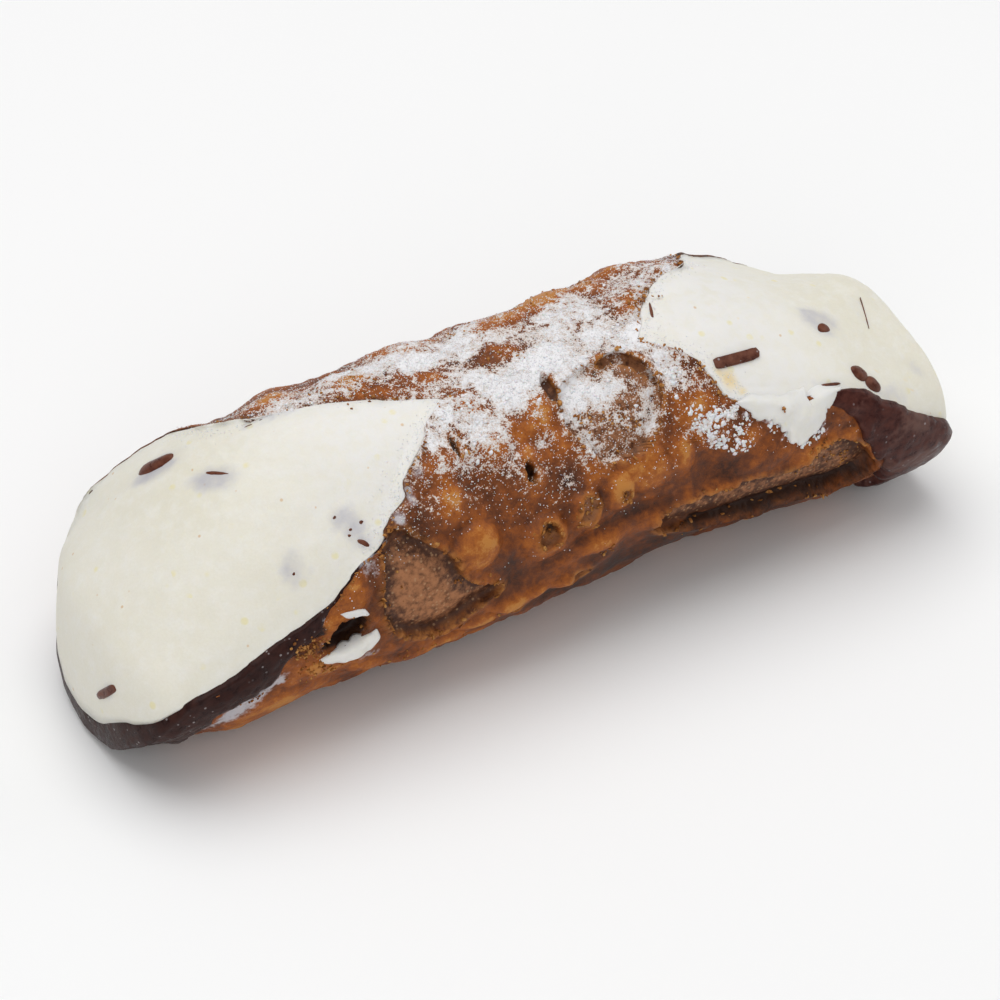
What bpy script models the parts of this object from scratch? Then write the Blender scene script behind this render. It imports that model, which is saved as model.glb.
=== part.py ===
"""Sicilian cannolo: a blistered fried pastry tube with two slanting mouths, filled with
ricotta cream and dipped in chocolate at both ends.

Metres, +Z up.  The tube lies along X on a small flat spot, its mouths turned upwards.
Angles go round the tube in degrees: 0 is the top, 90 the front (-Y), 180 the underside.
"""
import math

import bmesh
import bpy
import numpy as np
from mathutils import Matrix, Vector

MM = 0.001

# driving dimensions
TUBE_RADIUS = 22.9 * MM       # outside of the pastry between its blisters
WALL = 3.5 * MM               # pastry with its fused bubbles
LEAST_WALL = 1.2 * MM         # what is left of it at the bottom of the deepest hollow
GAP = 0.3 * MM                # clearance between neighbouring foods
FLAT_DEPTH = 0.6 * MM         # the underside is settled flat by this much
BOW = 1.4 * MM                # the tube bends up a little towards its ends
END_TAPER = 0.6 * MM          # and narrows a little there
HALF_LENGTH = 71 * MM
COAT = 0.8 * MM               # chocolate thickness on the underside
COAT_GAP = 0.4 * MM           # clearance between the chocolate and the pastry under it
SEAM_ANGLE = 18.0             # the front flap ends here, lapped over the back flap
SEAM_STEP = 1.0 * MM
SEAM_FADE = 60.0              # degrees over which the lapped flap thins out
END_THINNING = 1.1 * MM       # the wall is this much thinner at both ends
LIP_ROUND = 0.3 * MM          # the middle of the wall stands out this far at a mouth
RIPPLE = 0.3 * MM             # slow waviness of the fried skin

AXIS_HEIGHT = TUBE_RADIUS - FLAT_DEPTH

# mouths: (angle, x in mm) of the pastry's edge, all the way round the tube
LEFT_MOUTH = [(14, -13), (30, -20.5), (48, -28), (63, -34), (78, -46), (91, -58), (101, -68),
              (115, -70), (135, -71), (180, -72), (222, -69.5), (252, -67), (279, -59.5), (298, -50),
              (345, -43), (354, -35), (2, -23)]
RIGHT_MOUTH = [(20, 19.7), (36, 26.5), (54, 29.5), (67, 41), (82, 58), (97, 67.5), (112, 70),
               (180, 70), (225, 68.5), (250, 66), (269, 61), (293, 48), (313, 40),
               (343, 37), (350, 31), (4, 24)]

# cream faces: the height over the axis that the blunt end reaches, how far that end's crown
# has fallen at the tube's sides, how much lower its back side is, how much the middle swells,
# and the centre of its rings
LEFT_FACE = {"end": -1.0 * MM, "crown": 2.0 * MM, "lean": 0.0, "swell": 1.5 * MM,
             "centre": (-46 * MM, 0.0)}
RIGHT_FACE = {"end": 10.5 * MM, "crown": 12.0 * MM, "lean": 4.0 * MM, "swell": -3.0 * MM,
              "centre": (49 * MM, -1 * MM)}

# chocolate: from which angle to which the rim is dipped, and how wide the band is; its width
# runs from the rim towards a point on the tube's underside
LEFT_DIP = {"angles": (72, 232), "width": 6.5 * MM, "coat": 0.8 * MM, "towards": -40 * MM}
RIGHT_DIP = {"angles": (72, 255), "width": 12.5 * MM, "coat": 2.0 * MM, "towards": 36 * MM}

# blisters and hollows: (x mm, angle, reach along mm, reach round mm, height mm)
BLISTERS = [
    (-24, 84, 8.5, 10.5, -2.0), (-30, 50, 6, 5, 0.9), (-16, 71, 5, 6, 1.4),
    (-5.5, 80, 5, 6, 1.3), (-6, 52, 5, 6, 1.0), (5, 76, 4.5, 5, 1.0), (17, 73, 6, 6, 1.3),
    (10, 45, 9.5, 9.0, -1.6), (2, 28, 5, 5, 1.2), (21, 38, 5, 8, 1.2), (11, 62, 8, 4, 0.9),
    (11, 90, 7, 4, -0.9), (25, 72, 7, 5, -0.7), (26, 84, 10, 3, 0.7),
    (-14, 338, 7, 6, 1.6), (-1, 345, 6, 5, 1.2), (13, 335, 7, 6, 1.5), (31, 330, 8, 6, 1.4),
    (-34, 338, 7, 5, 1.2), (-11, 30, 6, 6, 0.8), (-44, 132, 12, 8, 2.0),
    (-28, 130, 10, 7, 1.3), (14, 138, 12, 8, -1.0), (30, 140, 14, 9, -1.2),
    (46, 140, 10, 9, -0.8), (-33, 240, 10, 8, 1.4), (-3, 255, 9, 8, 1.3),
    (21, 235, 9, 9, 1.5), (41, 250, 8, 7, 1.1), (-15, 290, 9, 8, 1.4), (11, 285, 8, 8, 1.2),
    (-51, 245, 8, 7, 1.0),
]
LONG_HOLLOW = {"x": (15 * MM, 48 * MM), "angle": (91, 118), "depth": 2.0 * MM}

# mesh resolution
ROUND_STEPS = 64              # segments round the tube, closer together at its sides
SIDE_CROWDING = 0.24
LENGTH_STEPS = 24
INNER_STEPS = 9
FACE_RINGS = (0.0, 0.3, 0.58, 0.82, 0.94, 0.988)
ROLL_POWER = 30               # how tightly a cream face rolls over to its rim
EDGE_POWER = 5                # how fast a face lets go of its rim's own ups and downs
DIP_STEPS = 36


def ease(t):
    """Smooth step from 0 to 1."""
    t = min(max(t, 0.0), 1.0)
    return t * t * (3.0 - 2.0 * t)


def turn(a, b):
    """Signed angle from b to a, within half a turn."""
    return (a - b + 180.0) % 360.0 - 180.0


def calm_slope(p0, p1, p2):
    """Slope of a curve at its middle point that never overshoots the neighbours."""
    left = (p1[1] - p0[1]) / (p1[0] - p0[0])
    right = (p2[1] - p1[1]) / (p2[0] - p1[0])
    return 0.0 if left * right <= 0.0 else 2.0 * left * right / (left + right)


def mouth_x(mouth, angle):
    """x of the mouth's edge at an angle: a smooth closed curve through its points."""
    points = sorted((a % 360.0, x) for a, x in mouth)
    count = len(points)
    angle %= 360.0
    k = max([i for i in range(count) if points[i][0] <= angle], default=count - 1)
    start = points[k][0]
    near = [points[(k + step) % count] for step in (-1, 0, 1, 2)]
    p0, p1, p2, p3 = [(turn(a, start), x) for a, x in near]
    span = p2[0] - p1[0]
    t = turn(angle, start) / span
    return MM * ((2 * t**3 - 3 * t**2 + 1) * p1[1] + (3 * t**2 - 2 * t**3) * p2[1]
                 + (t**3 - 2 * t**2 + t) * span * calm_slope(p0, p1, p2)
                 + (t**3 - t**2) * span * calm_slope(p1, p2, p3))


def axis_height(x):
    return AXIS_HEIGHT + BOW * (x / HALF_LENGTH) ** 2


def on_tube(x, angle, radius):
    a = math.radians(angle)
    return Vector((x, -radius * math.sin(a), axis_height(x) + radius * math.cos(a)))


def blister_height(x, angle):
    """All blisters and hollows added up, each a soft round cap."""
    total = 0.0
    for bx, ba, along, around, height in BLISTERS:
        dx = (x / MM - bx) / along
        da = math.radians(turn(angle, ba)) * TUBE_RADIUS / MM / around
        near = dx * dx + da * da
        if near < 1.0:
            total += height * (1.0 - near) ** 1.5
    return total * MM


def hollow_depth(x, angle):
    """The long torn blister along the front, just under the widest part."""
    x0, x1 = LONG_HOLLOW["x"]
    a0, a1 = LONG_HOLLOW["angle"]
    ends = ease((x - x0) / (5 * MM)) * ease((x1 - x) / (5 * MM))
    sides = ease((angle - a0) / 5.0) * ease((a1 - angle) / 10.0)
    return LONG_HOLLOW["depth"] * ends * sides


def seam_lift(angle):
    """The front flap stands a step higher than the back one where they lap."""
    past = turn(angle, SEAM_ANGLE)
    if past > 0.0:
        return SEAM_STEP * (1.0 - ease(past / SEAM_FADE))
    return -0.4 * SEAM_STEP * (1.0 - ease(-past / SEAM_FADE))


def dipped(x):
    """1 where the pastry carries chocolate, 0 on the bare pastry."""
    return max(ease((-40 * MM - x) / (12 * MM)), ease((x - 38 * MM) / (9 * MM)))


def mean_radius(x):
    return TUBE_RADIUS - END_TAPER * (x / HALF_LENGTH) ** 4


def bore_radius(x):
    """Inside of the tube; the wall thins a little towards both ends."""
    outwards = min(max((abs(x) - 25 * MM) / (35 * MM), 0.0), 1.0)
    return mean_radius(x) - WALL + END_THINNING * outwards


def outer_radius(x, angle):
    ripple = RIPPLE * math.sin(x / (9 * MM) + 3.0 * math.radians(angle))
    bumps = blister_height(x, angle) + ripple
    radius = (mean_radius(x) + seam_lift(angle) + bumps * (1.0 - dipped(x))
              - hollow_depth(x, angle) - 0.5 * COAT * dipped(x))
    return max(radius, bore_radius(x) + LEAST_WALL)


def outer_point(x, angle, lift=0.0):
    """A point on the pastry's skin, or lifted off it, settled on the resting plane."""
    point = on_tube(x, angle, outer_radius(x, angle) + lift)
    point.z = max(point.z, (COAT + COAT_GAP) * dipped(x) - lift, 0.0)
    return point


def bore_point(x, angle, shrink=0.0):
    return on_tube(x, angle, bore_radius(x) - shrink)


def round_angle(u):
    """Angle of a segment; segments crowd together at the two sides, where the rims run."""
    tau = 2.0 * math.pi * u
    return math.degrees(tau + SIDE_CROWDING * math.sin(2.0 * tau))


def between_mouths(u, s):
    """x and angle of a point: s runs from the left mouth to the right one."""
    angle = round_angle(u)
    left, right = mouth_x(LEFT_MOUTH, angle), mouth_x(RIGHT_MOUTH, angle)
    return left + (right - left) * s, angle


def skin(name, across, around, place):
    """A grid laid over the shape that place(row, u) gives, welded where its edges meet."""
    bm = bmesh.new()
    bmesh.ops.create_grid(bm, x_segments=around, y_segments=across, size=1.0)
    for v in bm.verts:
        v.co = place(round((v.co.y + 1.0) / 2.0 * across), (v.co.x + 1.0) / 2.0)
    bmesh.ops.remove_doubles(bm, verts=bm.verts, dist=0.02 * MM)
    bmesh.ops.holes_fill(bm, edges=[e for e in bm.edges if e.is_boundary], sides=0)
    bmesh.ops.triangulate(bm, faces=[f for f in bm.faces if len(f.verts) > 4])
    bmesh.ops.recalc_face_normals(bm, faces=bm.faces)
    mesh = bpy.data.meshes.new(name)
    bm.to_mesh(mesh)
    bm.free()
    mesh.shade_smooth()
    return mesh


def lip_point(u, s, side):
    """The middle of the wall's edge at a mouth, standing out a little."""
    spot = between_mouths(u, s)
    middle = (outer_point(*spot) + bore_point(*spot)) / 2.0
    return middle + Vector((side * LIP_ROUND, 0.0, 0.0))


def shell_point(row, u):
    """Section of the wall: outside left to right, right lip, inside back, left lip."""
    if row <= LENGTH_STEPS:
        return outer_point(*between_mouths(u, row / LENGTH_STEPS))
    row -= LENGTH_STEPS + 1
    if row == 0:
        return lip_point(u, 1.0, 1)
    row -= 1
    if row <= INNER_STEPS:
        return bore_point(*between_mouths(u, 1.0 - row / INNER_STEPS))
    if row == INNER_STEPS + 1:
        return lip_point(u, 0.0, -1)
    return outer_point(*between_mouths(u, 0.0))


def make_shell():
    return skin("shell", LENGTH_STEPS + INNER_STEPS + 4, ROUND_STEPS, shell_point)


def face_terms(x, y):
    """The terms of a smooth sheet over the plan of a mouth."""
    x, y = x / TUBE_RADIUS, y / TUBE_RADIUS
    return [1.0, x, y, x * x, x * y, y * y]


def make_face(face, mouth):
    """The smooth sheet nearest to a mouth's rim, and what the rim keeps above or below it."""
    angles = [round_angle(k / ROUND_STEPS) for k in range(ROUND_STEPS)]
    rims = [bore_point(mouth_x(mouth, a), a, GAP) for a in angles]
    sides = [rim.y / TUBE_RADIUS for rim in rims]
    blunt = [face["end"] - face["crown"] * y * y - face["lean"] * y for y in sides]
    edges = [max(rim.z, AXIS_HEIGHT + end) for rim, end in zip(rims, blunt)]
    terms = np.array([face_terms(rim.x, rim.y) for rim in rims])
    sheet = np.linalg.lstsq(terms, np.array(edges), rcond=None)[0]
    return rims, sheet, np.array(edges) - terms @ sheet


def face_point(face, shape, u, ring):
    """A smoothed cream face: stretched across the mouth, rolling over to its rim."""
    rims, sheet, leftover = shape
    k = round(u * ROUND_STEPS) % ROUND_STEPS
    cx, cy = face["centre"]
    x, y = cx + (rims[k].x - cx) * ring, cy + (rims[k].y - cy) * ring
    z = float(np.dot(face_terms(x, y), sheet)) + leftover[k] * ring ** EDGE_POWER
    z += face["swell"] * (1.0 - ring * ring)
    roll = 1.0 - math.sqrt(1.0 - ring ** ROLL_POWER)
    z = z * (1.0 - roll) + rims[k].z * roll
    middle = axis_height(x)
    squeeze = min(1.0, (bore_radius(x) - GAP) / math.hypot(y, z - middle))
    return Vector((x, y * squeeze, middle + (z - middle) * squeeze))


def make_cream():
    """Pole to pole: left face, the body inside the shell, right face."""
    left, right = make_face(LEFT_FACE, LEFT_MOUTH), make_face(RIGHT_FACE, RIGHT_MOUTH)
    rings = len(FACE_RINGS)

    def place(row, u):
        if row < rings:
            return face_point(LEFT_FACE, left, u, FACE_RINGS[row])
        row -= rings
        if row <= INNER_STEPS:
            return bore_point(*between_mouths(u, row / INNER_STEPS), GAP)
        return face_point(RIGHT_FACE, right, u, FACE_RINGS[rings + INNER_STEPS - row])

    return skin("cream", 2 * rings + INNER_STEPS, ROUND_STEPS, place)


def dip_section(width, coat):
    """Closed section of the chocolate: (distance from the rim, lift or None at the bore)."""
    top = coat + COAT_GAP
    clear = LIP_ROUND + COAT_GAP
    return [(width, COAT_GAP), (width / 2, COAT_GAP), (-clear, COAT_GAP), (-clear, None),
            (-clear - coat, None), (-clear - coat, 0.4 * top), (-clear - 0.3 * coat, top),
            (width / 2, top), (max(width - 0.8 * MM, 0.6 * width), 0.9 * top),
            (width, COAT_GAP + 0.25 * MM)]


def make_dip(name, dip, mouth):
    """A band of chocolate that wraps the rim and runs on over the pastry."""
    first, last = dip["angles"]

    def place(row, u):
        angle = first + (last - first) * u
        taper = 0.35 + 0.65 * ease(min(u, 1.0 - u) / 0.12)
        distance, lift = dip_section(dip["width"] * taper, dip["coat"] * taper)[row % 10]
        rim = Vector((mouth_x(mouth, angle), math.radians(angle - 180.0) * TUBE_RADIUS))
        spot = rim + (Vector((dip["towards"], 0.0)) - rim).normalized() * distance
        at = 180.0 + math.degrees(spot.y / TUBE_RADIUS)
        if lift is None:
            return bore_point(spot.x, at)
        return outer_point(spot.x, at, lift)

    return skin(name, 10, DIP_STEPS, place)


def make_material(name, colour, roughness, subsurface=0.0):
    mat = bpy.data.materials.new(name)
    mat.use_nodes = True
    bsdf = mat.node_tree.nodes["Principled BSDF"]
    bsdf.inputs["Base Color"].default_value = (*colour, 1.0)
    bsdf.inputs["Roughness"].default_value = roughness
    bsdf.inputs["Metallic"].default_value = 0.0
    bsdf.inputs["Subsurface Weight"].default_value = subsurface
    return mat


def centre_in_plan(meshes):
    """Moves all meshes together so that their common box is centred on X and Y."""
    spots = [v.co for mesh in meshes for v in mesh.vertices]
    middle = [(min(p[i] for p in spots) + max(p[i] for p in spots)) / 2.0 for i in (0, 1)]
    for mesh in meshes:
        mesh.transform(Matrix.Translation((-middle[0], -middle[1], 0.0)))


def add_object(collection, mesh, material):
    mesh.materials.append(material)
    collection.objects.link(bpy.data.objects.new(mesh.name, mesh))


def main():
    for obj in list(bpy.data.objects):
        bpy.data.objects.remove(obj, do_unlink=True)
    cannolo = bpy.data.collections.new("cannolo")
    bpy.context.scene.collection.children.link(cannolo)

    pastry = make_material("fried_pastry", (0.30, 0.115, 0.04), 0.6)
    ricotta = make_material("ricotta_cream", (0.80, 0.76, 0.66), 0.5, subsurface=0.3)
    chocolate = make_material("dark_chocolate", (0.035, 0.014, 0.012), 0.35)

    foods = [
        (make_shell(), pastry),
        (make_cream(), ricotta),
        (make_dip("chocolate_dip_left", LEFT_DIP, LEFT_MOUTH), chocolate),
        (make_dip("chocolate_dip_right", RIGHT_DIP, RIGHT_MOUTH), chocolate),
    ]
    centre_in_plan([mesh for mesh, _ in foods])
    for mesh, material in foods:
        add_object(cannolo, mesh, material)


if __name__ == "__main__":
    main()
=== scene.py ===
import math

import bmesh
import bpy
import numpy as np
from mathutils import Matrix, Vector
from mathutils.bvhtree import BVHTree


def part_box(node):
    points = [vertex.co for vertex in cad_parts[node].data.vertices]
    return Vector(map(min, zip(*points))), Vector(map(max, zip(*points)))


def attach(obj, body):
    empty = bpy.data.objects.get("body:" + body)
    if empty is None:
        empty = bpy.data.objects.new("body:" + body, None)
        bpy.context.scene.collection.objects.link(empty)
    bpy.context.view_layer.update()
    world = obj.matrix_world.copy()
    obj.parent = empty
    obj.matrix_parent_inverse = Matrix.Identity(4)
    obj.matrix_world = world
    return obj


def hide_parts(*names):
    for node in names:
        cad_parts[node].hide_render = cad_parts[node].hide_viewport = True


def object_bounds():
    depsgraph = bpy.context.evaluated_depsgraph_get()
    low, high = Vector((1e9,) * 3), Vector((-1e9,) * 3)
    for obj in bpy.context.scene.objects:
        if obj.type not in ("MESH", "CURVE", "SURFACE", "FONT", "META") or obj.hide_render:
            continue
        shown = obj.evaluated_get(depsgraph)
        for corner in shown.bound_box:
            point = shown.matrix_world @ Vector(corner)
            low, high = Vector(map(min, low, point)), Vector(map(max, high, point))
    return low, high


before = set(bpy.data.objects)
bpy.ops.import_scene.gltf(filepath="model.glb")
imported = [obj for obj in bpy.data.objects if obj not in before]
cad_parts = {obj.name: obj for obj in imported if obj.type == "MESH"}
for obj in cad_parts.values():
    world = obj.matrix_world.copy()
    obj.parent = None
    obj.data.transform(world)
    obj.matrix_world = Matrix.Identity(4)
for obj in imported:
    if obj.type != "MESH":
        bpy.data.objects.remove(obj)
cadBox = [[float(v) for v in corner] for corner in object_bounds()]

mm = 0.001
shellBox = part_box("shell")
shellLength = (shellBox[1][0] - shellBox[0][0]) / mm
print("scene: shell is %.1f mm long in the packed part" % shellLength)

tube = {
    "radius": 22.9,          # outside of the pastry between its blisters
    "axisHeight": 22.3,      # at mid length
    "bow": 1.4,              # the ends bend up by this much
    "taper": 0.6,            # and narrow by this much
    "halfLength": 71.0,
    "middle": (0.4, 0.27),   # where the tube's own middle lies in plan
    "wall": 3.5,
    "rimWall": 0.9,          # the torn rim is thinner than the wall
}
mmPerDegree = tube["radius"] * math.pi / 180  # round the outside of the tube


lattice = 24  # cells until the noise repeats


def latticeOf(seed, channels=1):
    return np.random.RandomState(seed).rand(lattice, lattice, lattice, channels)


def softNoise(points, cell, seed):  # smooth lumps about one cell wide, from -1 to 1
    table = latticeOf(seed)[..., 0] * 2 - 1
    spot = points / cell + 100.0
    low = np.floor(spot).astype(int)
    part = spot - low
    part = part * part * (3 - 2 * part)
    total = np.zeros(len(points))
    for corner in np.ndindex(2, 2, 2):
        weight = np.ones(len(points))
        for axis in range(3):
            weight = weight * (part[:, axis] if corner[axis] else 1 - part[:, axis])
        i, j, k = ((low + corner) % lattice).T
        total += weight * table[i, j, k]
    return total * 1.5


def bubbleCaps(points, cell, seed):  # round caps of mixed size, 0 between them, 1 on the tallest
    table = latticeOf(seed, channels=4)
    spot = points / cell + 100.0
    low = np.floor(spot).astype(int)
    best = np.zeros(len(points))
    for offset in np.ndindex(3, 3, 3):
        at = low + np.array(offset) - 1
        i, j, k = (at % lattice).T
        drop = table[i, j, k]
        reach = 0.28 + 0.42 * drop[:, 3]
        gap = np.linalg.norm(spot - at - drop[:, :3], axis=1) / reach
        best = np.maximum(best, np.clip(1 - gap * gap, 0, 1) * reach / 0.7)
    return best


def smooth(value, low=0.0, high=1.0):
    t = np.clip((value - low) / (high - low), 0, 1)
    return t * t * (3 - 2 * t)


def turnFrom(angle, other):  # signed degrees from other to angle
    return (angle - other + 180.0) % 360.0 - 180.0


def alongTube(x):
    return (x - tube["middle"][0]) / tube["halfLength"]


def tubeRadius(x):
    return tube["radius"] - tube["taper"] * alongTube(x) ** 4


def axisHeight(x):
    return tube["axisHeight"] + tube["bow"] * alongTube(x) ** 2


def tubePoint(x, angle, radius):
    turn = np.radians(angle)
    return np.stack([x + 0 * turn, tube["middle"][1] - radius * np.sin(turn),
                     axisHeight(x) + radius * np.cos(turn)], axis=-1)


def farFrom(x, angle, px, pa, along, around):  # 1 at these reaches along and round, as a square
    return ((x - px) / along) ** 2 + (turnFrom(angle, pa) * mmPerDegree / around) ** 2


def patchAmount(x, angle, patches):  # soft round patches: (x, angle, reach along, reach round, amount)
    total = np.zeros(len(x))
    for *place, amount in patches:
        total += amount * np.exp(-1.6 * farFrom(x, angle, *place))
    return total


def curveThrough(knots, steps):  # a smooth line through all the knots but the first and the last
    line = []
    for a, b, c, d in zip(knots, knots[1:], knots[2:], knots[3:]):
        for t in np.arange(0, 1, 1 / steps):
            line.append(0.5 * (2 * b + (c - a) * t + (2 * a - 5 * b + 4 * c - d) * t * t
                               + (3 * b - a - 3 * c + d) * t ** 3))
    return np.array(line)


# the pastry's edge at each mouth: (angle, x)
mouths = {
    "left": [(13, -12.3), (19, -15.9), (28, -19.9), (37, -23.7), (45, -26.1), (51, -28), (57, -30.8),
             (63, -34.8), (70, -38.6), (75, -41), (77, -44), (81, -47.7), (88, -53.8), (93, -58.5),
             (97, -62.6), (101, -65.4), (106, -67.6), (114, -69.3), (126, -70.7), (140, -71.7),
             (155, -72.3), (180, -72.7), (200, -72.2), (215, -71), (230, -68.4), (252, -65.6),
             (279, -59), (298, -49.6), (316, -45), (335, -43), (346, -41), (351, -34), (354, -27.2),
             (359, -23.4), (5, -18.8)],
    "right": [(20, 20.4), (27, 24.4), (35, 27.3), (43, 28.7), (54, 30.2), (58, 34.3), (61, 39),
              (63.5, 44), (65.5, 49.5), (70, 53.2), (76, 55.8), (82, 57.9), (90, 61.5), (97, 65),
              (104, 68.5), (112, 70.2), (180, 70.4), (225, 69), (250, 66.4), (262, 64), (267, 62.6),
              (275.5, 59), (284.5, 54.5), (293, 49.8), (297, 47.5), (304, 44.4), (313, 41), (322, 39.6),
              (335, 38.8), (343, 37.6), (348, 32.5), (356, 27.8), (3, 24.8), (12, 23.2)],
}
rimRagged = {"coarse": 0.55, "fine": 0.3}
rimAngles = np.arange(0, 360, 0.5)
rimTables = {}
for side, corners in mouths.items():
    corners = sorted(corners)
    angles = np.array([a for a, _ in corners])
    spots = np.array([x for _, x in corners])
    angles = np.concatenate([angles - 360, angles, angles + 360])
    spots = np.concatenate([spots, spots, spots])
    fine = np.interp(rimAngles, angles, spots)
    kernel = np.exp(-(np.arange(-6, 7) / 3.0) ** 2)
    kernel /= kernel.sum()
    fine = np.convolve(np.concatenate([fine[-6:], fine, fine[:6]]), kernel, mode="valid")
    plain = tubePoint(fine, rimAngles, tube["radius"])
    dipped = smooth((rimAngles - 96) / 10) * (1 - smooth((rimAngles - 262) / 15))
    fine += (1 - 0.93 * dipped) * (rimRagged["coarse"] * softNoise(plain, 3.2, 11)
                                 + rimRagged["fine"] * softNoise(plain, 1.1, 12))
    rimTables[side] = fine


def mouthX(side, angle):
    table = rimTables[side]
    return np.interp(np.mod(angle, 360), np.append(rimAngles, 360), np.append(table, table[0]))


# how far each kind of unevenness lifts the fried skin, in mm: (height, size) where it has both
skin = {
    "slowWaves": (0.42, 13), "midWaves": (0.26, 5), "fineGrain": 0.06, "grainSizes": (0.9, 1.7),
    "bubbles": (0.55, 4.6), "smallBubbles": (0.22, 2.0),
    "seamStep": 1.0, "seamFade": 60.0, "seamAngle": 14.5,
}
# where the tube slumped as it drained: (x, angle, reach along, reach round, height)
sags = [
    (-43, 322, 10, 11, -2), (-26, 325, 8, 9, -0.9), (-8, 325, 11, 9, -1), (12, 322, 8, 8, -0.5),
    (24, 322, 5, 8, -0.9), (38, 320, 8, 12, -1.6), (50, 300, 7, 8, -0.6), (25, 134, 12, 9, -3.2),
    (12, 134, 6, 8, -1), (40, 131, 8, 8, -1.8), (-3, 134, 6, 8, -2.2), (4, 134, 4, 8, -0.8),
    (-14, 134, 7, 8, -1), (-44, 132, 8, 8, -1.2), (-32, 134, 4, 7, -0.8), (-70, 137, 7, 10, -2.1),
]
# blisters that stayed whole: (x, angle, reach along, reach round, height)
domes = [
    (-16, 72, 4.2, 3.9, 1.7), (-4.9, 79, 4, 4, 1.7), (2.7, 74, 3.1, 3.4, 1.35),
    (8.8, 71.5, 3.1, 3.4, 1.35), (14.6, 68, 4.4, 3.8, 1.3), (20, 66, 3.2, 4, 1),
    (-9.8, 39, 3.2, 3.6, 1), (-5.3, 52, 3.6, 4.4, 1), (0.5, 49, 3.6, 3.4, 0.9),
    (-0.9, 33, 2.8, 5.2, 1.1), (5, 63, 3.2, 2.6, 0.8), (-18.6, 39, 3.8, 3.2, 1.1),
    (-19.4, 54, 4.6, 3.8, 1.1), (4.6, 91, 5, 1.9, 0.9), (-4.6, 86.5, 4, 1.6, 0.5),
    (18.6, 93, 4.6, 2, 0.8), (-1, 106.5, 3.4, 1.5, 1), (-6.2, 105.5, 3.2, 1.4, 0.9),
    (-11.2, 106.5, 3.2, 1.5, 1), (-15.8, 111.5, 3.4, 1.6, 0.9), (-21, 116, 4, 1.6, 0.9),
    (-27, 119, 5, 1.8, 0.9), (-34, 116, 4, 2, 0.8), (23.4, 48, 3.4, 5.5, 0.9),
    (26.5, 62, 4.4, 3.4, 0.8), (35.5, 80, 7, 3, 0.7), (29, 73, 4.4, 2.6, 0.6),
    (-37.2, 73, 3.6, 3.2, 0.8), (-50, 128, 12, 6.5, 1.3), (-11, 331, 6.5, 5.5, 1.5),
    (-22.5, 343, 5.5, 4.5, 1.1), (0.5, 341, 5.5, 4.2, 1.1), (14, 333, 6, 5, 1.3), (26, 324, 5, 5, 0.9),
    (33, 338, 5, 5, 0.5), (-34.9, 338, 5, 4, 1.1), (25, 0, 5, 5, 0.7), (-13.4, 340, 3.4, 3, 0.7),
    (-9.4, 339, 2.6, 2.6, 0.6), (6.2, 336, 3.4, 3, 0.8), (13.3, 338, 3, 3, 0.7),
    (21.6, 334, 4, 3.6, 0.9), (32.5, 332, 4, 3, 0.5), (-33, 240, 9, 8, 1.3), (-3, 255, 8, 8, 1.2),
    (21, 235, 8, 9, 1.3), (41, 250, 7, 7, 1), (-15, 290, 8, 8, 1.3), (11, 285, 7, 8, 1.1),
    (-51, 245, 7, 7, 0.9), (-30, 300, 6, 6, 1), (33, 290, 5, 7, 1), (-22, 215, 6, 6, 0.9),
    (6, 215, 7, 6, 1), (48, 215, 6, 6, 0.9),
]
# smooth dells between the blisters, sunk and darkened with painted shade:
# (x, angle, reach along, reach round, depth)
dells = [
    (24.8, 76, 4.4, 3.6, 0.9), (21.5, 81, 3, 2, 0.15), (17, 85.5, 2.6, 1.7, 0.8),
    (13.5, 83.5, 3.4, 2, 0.9), (9.5, 83.5, 3.2, 1.8, 0.85), (5.5, 84.5, 3, 1.5, 0.8),
    (1.5, 87, 3, 1.7, 0.85), (-2.5, 91, 3, 1.7, 0.85), (-6.1, 92.5, 3, 1.7, 0.85),
    (-10.2, 95, 3.2, 1.8, 0.9), (-14, 101, 3.2, 1.7, 0.8), (-10.5, 88, 3.6, 2.6, 0.7),
    (11.1, 99, 4, 2, 0.8), (10.6, 108, 6, 3.2, 1), (4, 98.5, 4, 1.8, 0.7), (18, 106, 5, 2.2, 0.7),
    (29, 79, 6, 2.6, 0.7), (-12.4, 56, 2.4, 6, 0.8), (-11.2, 68, 1.6, 4, 0.5), (1, 62, 2, 3, 0.6),
    (-15, 47, 2, 5, 0.6), (5.6, 68, 1.4, 3.4, 0.6), (12, 74.5, 1.4, 3, 0.5), (-0.9, 72, 1.3, 3, 0.5),
    (-21.5, 63, 3, 2, 0.6), (-6.4, 99, 5, 1.6, 0.7), (-1.4, 112, 6, 2.2, 0.7), (-30, 125, 9, 4, 0.5),
    (20, 112, 12, 4, 0.7), (40, 75, 5, 2.4, 0.4), (18, 128, 14, 5, 0.9), (34, 138, 16, 6, 1.1),
    (51, 130, 10, 5, 0.7),
]
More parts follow.
